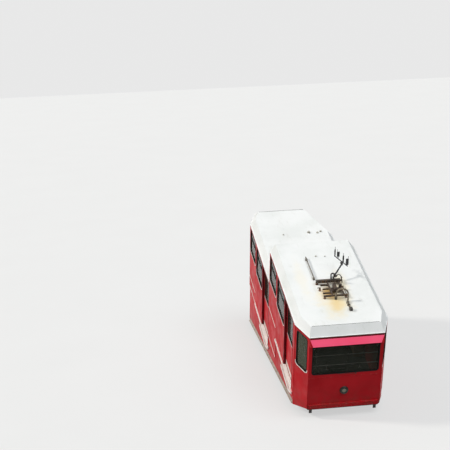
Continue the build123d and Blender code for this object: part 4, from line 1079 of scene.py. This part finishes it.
# Control points of the hose, with heights above the roof
HOSE_ROUTE = (
    (0.004, 1.245, 0.06), (0.004, 1.245, 0.198), (0.086, 1.247, 0.28), (0.202, 1.24, 0.28),
    (0.284, 1.228, 0.198), (0.28, 1.18, 0.095), (0.252, 1.095, 0.034), (0.232, 0.99, 0.024),
    (0.247, 0.88, 0.024), (0.247, 0.785, 0.024),
)
HOSE_OUT = 0.019
HOSE_IN = 0.0155
HOSE_RIB = 0.011


def spline_points(route):
    """Points along the smooth line through a route's control points."""
    curve = bpy.data.curves.new("hose_line", "CURVE")
    curve.dimensions = "3D"
    curve.resolution_u = 24
    spline = curve.splines.new("NURBS")
    spline.points.add(len(route) - 1)
    for point, place in zip(spline.points, route):
        point.co = (*place, 1)
    spline.order_u = 3
    spline.use_endpoint_u = True
    holder = bpy.data.objects.new("hose_line", curve)
    mesh = bpy.data.meshes.new_from_object(holder)
    points = [vertex.co.copy() for vertex in mesh.vertices]
    bpy.data.meshes.remove(mesh)
    bpy.data.objects.remove(holder)
    bpy.data.curves.remove(curve)
    return points


def even_points(points, along, count):
    """The same line in equal steps, from the distance of each of its points along it."""
    found = []
    number = 0
    for goal in spread(0, along[-1], count):
        while number < len(points) - 2 and along[number + 1] < goal:
            number += 1
        share = (goal - along[number]) / max(along[number + 1] - along[number], 1e-9)
        found.append(points[number].lerp(points[number + 1], share))
    return found


def hose(ribbed):
    """Corrugated conduit, clamped at the gland, under the clips and at the terminal box."""
    line = spline_points(HOSE_ROUTE)
    along = [0]
    for here, there in zip(line, line[1:]):
        along.append(along[-1] + (there - here).length)
    points = even_points(line, along, 4 * round(along[-1] / HOSE_RIB))
    ribbed.tube(points, (HOSE_OUT, HOSE_OUT, HOSE_IN, HOSE_IN), 14)


# Interior

CEILING = ROOF_TOP - 0.04
# Saloons: place of the floor, start and end of the lining
SALOONS = [(Matrix.Translation((0, 0, floor)), start, end)
           for floor, start, end in ((0, 0.74, 3.88), (-STEP, 4.16, 7.1))]
LINING_HALF = 0.86
LINING_COUNT = 4
LINING_ROWS = ((-LINING_HALF, -0.356), (-0.214, 0.214), (0.356, LINING_HALF))


def lining_edge(x, y):
    """Draws the lining's outer edge in where the long corner panel narrows the saloon."""
    past = y - (LENGTH - OUTER_CORNER[1])
    return x if x < LINING_HALF or past < 0 else x - past * OUTER_CORNER[0] / OUTER_CORNER[1]


def ceilings(panel, start, end):
    """Lining panels below a roof, with joints between them."""
    joints = spread(start, end, LINING_COUNT)
    for near, far in zip(joints, joints[1:]):
        near, far = near + 0.006, far - 0.006
        for left, right in LINING_ROWS:
            plan = ((left, near), (lining_edge(right, near), near),
                    (lining_edge(right, far), far), (left, far))
            panel.skin(*([(x, y, CEILING - below) for x, y in plan] for below in (0.016, 0.004)))


LIGHT_ARC = [(0.06 * cos(turn), -0.03 * sin(turn)) for turn in spread(0, pi, 10)]
CAP_ARC = [(u * 1.06, v * 1.08) for u, v in LIGHT_ARC]


def ceiling_lights(covers, caps, start, end):
    """Two rows of curved light covers with end caps."""
    z = CEILING - 0.006
    for x in (-0.285, 0.285):
        covers.skin(*([(x + u, y, z + v) for u, v in LIGHT_ARC] for y in (start + 0.03, end - 0.03)))
        for near in (start + 0.01, (start + end) / 2 - 0.02, end - 0.05):
            caps.skin(*([(x + u, y, z + v) for u, v in CAP_ARC] for y in (near, near + 0.04)))


RAIL_FOOT = ((0.03, 0), (0.03, 0.006), (0.012, 0.01))


def handrails(rail, start, end):
    """Passengers' rails below a ceiling, on dropped brackets."""
    top, low = CEILING - 0.014, CEILING - 0.24
    bend = ((0.06, top), (0.08, low + 0.05), (0.13, low))
    for x in (-0.6, 0.6):
        path = [(x, start + into, z) for into, z in bend]
        path += [(x, end - into, z) for into, z in reversed(bend)]
        rail.tube(path, 0.015, 14)
        for y in spread(start, end, 3)[1:-1]:
            rail.tube([(x, y, low), (x, y, top)], 0.01)
            rail.lathe(RAIL_FOOT, (x, y, top), 20, DOWN)


POLE_FLANGE = ((0.045, 0), (0.045, 0.006), (0.024, 0.01), (0.022, 0.03), (0.0175, 0.032))
POLE_COLLAR = ((0.0175, 0), (0.026, 0.004), (0.026, 0.036), (0.0175, 0.04))


def pole_fittings(fitting):
    """Floor flanges and collars on a section's grab poles."""
    for x in (-0.38, 0.38):
        pole = fitting.at(Matrix.Translation((x, sum(DOORWAY) / 2, 0)))
        pole.lathe(POLE_FLANGE)
        for u, v in around(0.035, 4, 45):
            pole.rivet((u, v, 0.006), 0.005)
        pole.lathe(POLE_COLLAR, (0, 0, 1.15))


BENCH_SEAT = 0.44
# Benches: side, start, end, height of the floor
BENCH_RUNS = (
    (-1, 1.9, 2.91, 0), (1, 1.9, 2.91, 0), (-1, 5.14, 7.18, -STEP), (1, 5.14, 6.5, -STEP),
)
BACK_LEAN = 3.7
BACK_UPRIGHT = Matrix.Rotation(radians(BACK_LEAN - 90), 4, "Y")
BENCHES = [(Matrix.Diagonal((side, 1, 1, 1)) @ Matrix.Translation((0, 0, floor)), start, end)
           for side, start, end, floor in BENCH_RUNS]
SEAT_PITCH = 0.48
# Arm rests: distance from the middle of the car and height above the seat
ARM_REST = ((0.6, 0), (0.6, 0.18), (0.66, 0.235), (0.875, 0.235))


def seat_shells(shells, arms, start, end):
    """Moulded seat and back shells on a bench, one to each place, and a rest at each end."""
    joints = spread(start, end, max(2, round((end - start) / SEAT_PITCH)))
    for near, far in zip(joints, joints[1:]):
        middle, wide = (near + far) / 2, far - near - 0.024
        seat = Matrix.Translation((0.7, middle, BENCH_SEAT))
        seat_shell(shells.at(seat), 0.335, wide, 0.02, 0.01)
        back = Matrix.Translation((0.884, middle, 0.675)) @ BACK_UPRIGHT
        seat_shell(shells.at(back), 0.4, wide, 0.016, 0.008)
    for y in (start + 0.025, end - 0.025):
        arms.tube([(x, y, BENCH_SEAT + z) for x, z in ARM_REST], 0.011)


SHELL_STEPS = 10


def seat_shell(pad, deep, wide, rise, dish):
    """A dished pad with rolled edges, standing on its place."""
    rows = []
    for u in spread(-1, 1, SHELL_STEPS):
        row = []
        for v in spread(-1, 1, SHELL_STEPS):
            edge = max(abs(u), abs(v)) ** 6
            height = rise * (1 - edge) + 0.001 - dish * (1 - u * u) * (1 - v * v)
            row.append((u * deep / 2, v * wide / 2, height))
        rows.append([pad.shape.verts.new(point) for point in pad.placed(row)])
    for here, there in zip(rows, rows[1:]):
        for column in range(SHELL_STEPS):
            pad.shape.faces.new((here[column], here[column + 1], there[column + 1], there[column]))


DESK_TOP = 0.89
DESK_SLOPE_Y = 0.234
DESK_OUT = (0, 0.12, 0.165)
GAUGE = ((0.046, 0), (0.046, 0.008), (0.04, 0.012), (0.039, 0.004), (0.004, 0.004))
BUTTON = ((0.016, 0), (0.016, 0.006), (0.011, 0.007), (0.011, 0.016), (0.008, 0.018))
LEVER_FOOT = ((0.034, 0), (0.034, 0.01), (0.02, 0.016))
LEVER_BALL = ((0.004, -0.022), (0.015, -0.016), (0.021, 0), (0.015, 0.016), (0.004, 0.022))


def desk_fittings(hood, metal, knobs, _corners):
    """Instrument hood, gauges, control handles, buttons and edge trim on a driver's desk."""
    hood.block((-0.3, 0.1), (0.1, 0.2), (DESK_TOP, DESK_TOP + 0.035))
    hood.block((-0.49, 0.49), (0.074, 0.084), (DESK_TOP, DESK_TOP + 0.018))
    slope = wall_place((0, DESK_SLOPE_Y, DESK_TOP), (-1, 0, 0), DESK_OUT)
    bright, black = metal.at(slope), knobs.at(slope)
    for x in (0.2, 0.08, -0.04):
        bright.lathe(GAUGE, (x, -0.085, 0))
    for x in (-0.16, -0.21, -0.26, -0.31):
        for y in (-0.06, -0.11):
            black.lathe(BUTTON, (x, y, 0), 16)
    for x, tall in ((0.36, 0.16), (-0.42, 0.11)):
        bright.lathe(LEVER_FOOT, (x, -0.08, 0))
        bright.tube([(x, -0.08, 0.01), (x, -0.05, tall * 0.6), (x, -0.03, tall)], 0.007, 10)
        black.lathe(LEVER_BALL, (x, -0.03, tall), 16)


# Shapes seen from a corner panel: height and depth into the cab
CAB_HANDLE = ((1.14, -0.046), (1.15, -0.085), (1.4, -0.085), (1.41, -0.046))
MIRROR_STAY = ((1.87, -0.047), (1.8, -0.1), (1.46, -0.1))
MIRROR_X = -0.06


def cab_handles(bar, mirror, corners):
    """Grab handles and a folding mirror by a driver's corner windows."""
    for corner, side in zip(corners, (-1, 1)):
        spans = corner_spans(corner, side)
        x = spans[0][0] - 0.012 if side < 0 else spans[-1][1] + 0.012
        bar.at(corner_place(corner, side)).tube([(x, z, out) for z, out in CAB_HANDLE], 0.01)
    left = corner_place(corners[0], -1)
    bar.at(left).tube([(MIRROR_X, z, out) for z, out in MIRROR_STAY], 0.006, 10)
    bar.at(left).block(about(MIRROR_X, 0.042), (1.2, 1.46), (-0.118, -0.102))
    mirror.at(left).block(about(MIRROR_X, 0.036), (1.207, 1.453), (-0.1015, -0.1))


STAIR_START = 2.99
STAIR_GOING = 0.208
STAIR_RISE = STEP / 5


def stair_nosings(rib):
    """Ribbed metal nosing on each inner step."""
    for number in range(1, 5):
        z = -number * STAIR_RISE
        for part in range(4):
            near = STAIR_START + (number - 1) * STAIR_GOING + 0.004 + part * 0.01
            rib.block((-1, 1), (near, near + 0.006), (z, z + 0.003))


# Underframe, in track axes

# Axle boxes: place along the track, and side
WHEELS = [(Matrix.Translation((0, y, 0)), side) for _, y in AXLES for side in (-1, 1)]
SOLE_OUT = 0.7
BOX_OUT = 0.725
BEAM_PLACES = (0.52, 2.6, 3.5, 4.7, 7, 7.6)
BRAKE_PLACES = (2.6, 4.7)
BOX_COVER = ((0.072, 0), (0.072, 0.01), (0.064, 0.014), (0.05, 0.014), (0.044, 0.024), (0.01, 0.028))
GREASE_NIPPLE = ((0.005, 0), (0.005, 0.012), (0.0035, 0.014), (0.0045, 0.022))


def axle_box_covers(cover, bolts, side):
    """Round cover with bolts and a grease nipple on an axle box, and its guides."""
    out = (side, 0, 0)
    cover.lathe(BOX_COVER, (side * BOX_OUT, 0, AXLE_Z), 32, out)
    for y, z in around(0.06, 6, 30):
        bolts.bolt((side * (BOX_OUT + 0.012), y, AXLE_Z + z), 0.007, out)
    bolts.lathe(GREASE_NIPPLE, (side * (BOX_OUT + 0.02), 0, AXLE_Z), 12, out)
    for y in (-0.108, 0.108):
        cover.block(about(side * 0.643, 0.012), about(y, 0.006), (0.195, 0.425))


SPRING_LOW = 0.37
SPRING_BULGE = ((0.023, 0.006), (0.0265, 0.014), (0.0275, 0.022), (0.0235, 0.033), (0.0275, 0.045),
                (0.0265, 0.056), (0.023, 0.064))


def spring_rings(bulge, plates, side):
    """Bonded plates and a bulged middle on the rubber springs of an axle box."""
    for y in (-0.05, 0.05):
        at = (side * 0.675, y, SPRING_LOW)
        bulge.lathe(SPRING_BULGE, at)
        for z in (0, 0.03, 0.064):
            plates.lathe(((0.029, z), (0.029, z + 0.006)), at)


WHEEL_X = 0.5
HUB_HALF = 0.07
# Half widths of the tyres: drum wheels on the left, grooved wheels on the right
TYRE_HALF = {-1: 0.09, 1: 0.06}
TYRE_RING = ((0.209, 0), (0.209, 0.004), (0.222, 0.004), (0.222, 0))


def wheel_trim(bolts, rings):
    """Ring bolts on the hubs of an axle, and retaining rings of its tyres."""
    for side in (-1, 1):
        for face in (-1, 1):
            out = (face, 0, 0)
            for y, z in around(0.079, 8, 22.5):
                bolts.bolt((side * WHEEL_X + face * HUB_HALF, y, z), 0.007, out)
            x = side * WHEEL_X + face * TYRE_HALF[side]
            rings.lathe(TYRE_RING, (x, 0, 0), 48, out, "joined")


def frame_bolts(bolts):
    """Bolts through the side bars at each cross beam, and at the brakes' tops."""
    for y in BEAM_PLACES:
        for side in (-1, 1):
            for offset in (0.022, 0.058):
                for z in (0.222, 0.278):
                    bolts.bolt((side * SOLE_OUT, y + offset, z), 0.01, (side, 0, 0))
    for y in BRAKE_PLACES:
        for x in (0.455, 0.545):
            for z in (0.1, 0.16):
                bolts.bolt((x, y - 0.03, z), 0.01, UPHILL)
                bolts.bolt((x, y + 0.11, z), 0.01, DOWNHILL)


PIPE_ENDS = (2.02, 5.72)
PIPE_HEIGHTS = (0.225, 0.262)
# Branch down to a brake: across, along from the brake, height
BRAKE_BRANCH = ((0.44, 0.02, 0.318), (0.44, -0.015, 0.318), (0.44, -0.044, 0.28), (0.44, -0.044, 0.14),
                (0.455, -0.036, 0.13))


def brake_pipes(pipes, clips):
    """Pipes along the side bars with clips and junction boxes, and branches down to the brakes."""
    for side in (-1, 1):
        for z in PIPE_HEIGHTS:
            pipes.tube([(side * (SOLE_OUT + 0.01), y, z) for y in PIPE_ENDS], 0.007, 10)
        boxes = [(y, 0.045, 0.05, (0.205, 0.285)) for y in PIPE_ENDS]
        straps = [(y, 0.02, 0.012, (0.212, 0.275)) for y in spread(2.35, 5.35, 6)]
        for y, deep, half, height in boxes + straps:
            clips.block((side * SOLE_OUT, side * (SOLE_OUT + deep)), about(y, half), height)
    for place in BRAKE_PLACES:
        pipes.tube([(x, place + y, z) for x, y, z in BRAKE_BRANCH], 0.007, 10)


# Downhill apron

APRON_Y = 0.01
GRILLE_HALF = 0.3
GRILLE_UP = (-0.6, -0.22)
GRILLE_RIM = ((-0.012, 0), (-0.012, 0.006), (0.012, 0.008), (0.012, 0))
HATCH_UP = (-1.16, -0.94)


def apron_details(strips, grille, bolts):
    """Joint strips with bolts, a louvred grille and access panels below the downhill end."""
    low, high = face_span(ENDS[1][1], 0.035)
    middle = (low + high) / 2
    place = DOWNHILL_END @ wall_place((0, APRON_Y, 0), (1, 0, 0), UPHILL)
    plate, slats, fixings = strips.at(place), grille.at(place), bolts.at(place)
    for z in (-0.085, -0.72):
        plate.block((low, high), about(z, 0.016), (0, 0.003))
        for x in spread(low + 0.02, high - 0.02, 12):
            fixings.rivet((x, z, 0.003), 0.006)
    for x1, x2 in ((low + 0.03, middle - 0.36), (middle + 0.36, high - 0.03)):
        plate.block((x1, x2), GRILLE_UP, (0, 0.004))
        for x in (x1 + 0.022, x2 - 0.022):
            for z in (-0.578, -0.41, -0.242):
                fixings.bolt((x, z, 0.004), 0.006)
    plate.sweep(rounded(about(middle, GRILLE_HALF), GRILLE_UP, 0.03), GRILLE_RIM, closed=True)
    for z in spread(-0.57, -0.266, 8):
        blade = Matrix.Translation((0, z, 0.001)) @ Matrix.Rotation(radians(-35), 4, "X")
        slats.at(blade).block(about(middle, 0.285), (0, 0.03), (0, 0.003))
    plate.block(about(middle, 0.11), HATCH_UP, (0, 0.006))
    for x in about(middle, 0.085):
        for z in (HATCH_UP[0] + 0.025, HATCH_UP[1] - 0.025):
            fixings.bolt((x, z, 0.006), 0.009)


def fit_outside():
    """Windows, roof, ends and sides: each piece's name, slot, finish if not the slot's, and rounding."""
    panes = list(windows())
    beside = [pane for pane in panes if pane[2] != WINDSCREEN_UP]
    lengthwise = [pane for pane in panes if abs(pane[0].col[0].y) > ALONG_CAR]
    doorways = [(place, side) for _, side, place in DOORWAYS]
    fit(window_seals, ("window_seals", "spring_rubber", "black_rubber"), over=panes)
    fit(window_sills, ("window_sills", "step_metal", "trim_metal"), over=beside)
    fit(window_bars, ("window_bars", "frame_paint", "black_rubber", 0.003), over=lengthwise)
    fit(roof_rivets, ("roof_rivets", "roof_paint"), over=ON_ROOF)
    fit(bevel_joints, ("bevel_seals", "spring_rubber", "black_rubber"),
        ("bevel_screws", "roof_paint"), over=ENDS)
    fit(roof_fittings, ("roof_fittings", "roof_paint", "vent_paint"), over=ON_ROOF)
    fit(eave_strips, ("eave_strips", "red_paint", "gutter_paint"), over=ENDS)
    # The hood's glow and the dark band above it are painted light and shade
    fit(hood_skins, ("hood_skins", "red_paint", "hood_paint"),
        ("hood_top_bands", "red_paint", "gutter_paint"), over=ENDS)
    fit(bumper_strips, ("bumper_strips", "red_paint", None, 0.001), over=ENDS)
    fit(wipers, ("wiper_arms", "lamp_rim"), ("wiper_blades", "spring_rubber", "black_rubber"), over=ENDS)
    fit(guard_rails, ("guard_rails", "pole_steel", "trim_metal", 0.001), over=ENDS)
    fit(headlamp_trim, ("headlamp_trim", "lamp_rim"), over=ENDS)
    fit(end_joints, ("end_joints", "red_paint"), over=ENDS)
    fit(doorway_trim, ("doorway_strips", "red_paint", "jamb_paint"),
        ("tread_nosings", "step_metal", "trim_metal", 0.002), over=doorways)
    fit(sill_plates, ("sill_plates", "step_metal", "tread_paint"), over=doorways)
    fit(side_mouldings, ("side_mouldings", "step_metal", "trim_metal"))
    fit(skirt_strips, ("skirt_flanges", "step_metal", "flange_metal", 0.001),
        ("skirt_bolts", "frame_paint", "bolt_metal"), axes=TRACK_AXES)
    for leaf, side, place in DOORWAYS:
        fit(door_trim, ("door_seals_" + leaf, "spring_rubber", "black_rubber", 0.002),
            ("door_metal_" + leaf, "step_metal", "trim_metal", 0.0015),
            body="door_leaf_" + leaf, over=[(place, side)])


def fit_collector():
    fit(insulators, ("insulator_ribs", "insulator"), ("insulator_caps", "collector_metal"), over=ON_ROOF)
    fit(collector_bolts, ("collector_bolts", "collector_metal", "bolt_metal"), over=ON_ROOF)
    fit(drum_straps, ("drum_straps", "collector_metal"), over=ON_ROOF)
    fit(collector_springs, ("collector_springs", "collector_metal"), over=ON_ROOF)
    fit(collector_link, ("collector_link", "collector_metal", "contact_metal"), over=ON_ROOF)
    fit(hose, ("hose_ribs", "hose_rubber"), over=ON_ROOF)


def fit_inside():
    sections = [(Matrix.Translation((0, y, floor)),) for _, y, floor in SECTIONS]
    fit(ceilings, ("ceiling_panels", "desk_plastic", "ceiling_panel", 0.003), over=SALOONS)
    fit(ceiling_lights, ("light_covers", "lamp_glass", "light_cover"),
        ("light_caps", "pole_steel", "trim_metal", 0.002), over=SALOONS)
    fit(handrails, ("handrails", "pole_steel"), over=SALOONS)
    fit(pole_fittings, ("pole_fittings", "pole_steel", "trim_metal"), over=sections)
    fit(seat_shells, ("seat_shells", "seat_plastic"), ("seat_arms", "pole_steel"), over=BENCHES)
    fit(desk_fittings, ("desk_hoods", "desk_plastic", None, 0.01),
        ("desk_metal", "pole_steel", "trim_metal"), ("desk_knobs", "desk_plastic", "black_rubber"), over=ENDS)
    fit(cab_handles, ("cab_handles", "pole_steel", None, 0.002),
        ("cab_mirrors", "pole_steel", "mirror_glass"), over=ENDS)
    fit(stair_nosings, ("stair_nosings", "step_metal", "flange_metal", 0.001))


def fit_below():
    fit(axle_box_covers, ("axle_box_covers", "frame_paint", None, 0.001),
        ("axle_box_bolts", "frame_paint", "bolt_metal"), axes=TRACK_AXES, over=WHEELS)
    fit(spring_rings, ("spring_bulges", "spring_rubber", "black_rubber"),
        ("spring_plates", "frame_paint", "bolt_metal", 0.001), axes=TRACK_AXES, over=WHEELS)
    for name, y in AXLES:
        fit(wheel_trim, ("hub_bolts_" + name, "wheel_steel", "bolt_metal"),
            ("tyre_rings_" + name, "wheel_steel"),
            body="axle_set_" + name, axes=TRACK_AXES, over=[(Matrix.Translation((0, y, AXLE_Z)),)])
    fit(frame_bolts, ("frame_bolts", "frame_paint", "bolt_metal"), axes=TRACK_AXES)
    fit(brake_pipes, ("brake_pipes", "pole_steel", "flange_metal"),
        ("pipe_clips", "frame_paint", None, 0.002), axes=TRACK_AXES)
    fit(apron_details, ("apron_strips", "red_paint", None, 0.001),
        ("apron_grille", "red_paint", "gutter_paint"), ("apron_bolts", "frame_paint", "bolt_metal"))


def fit_car():
    fit_outside()
    fit_collector()
    fit(rail_guards, ("rail_guards", "frame_paint", None, 0.002),
        ("rail_guard_bolts", "frame_paint", "bolt_metal"), over=ENDS)
    fit_inside()
    fit_below()


make_finishes()
finish_nodes()
add_camera()
add_floor()
add_light()
fit_car()
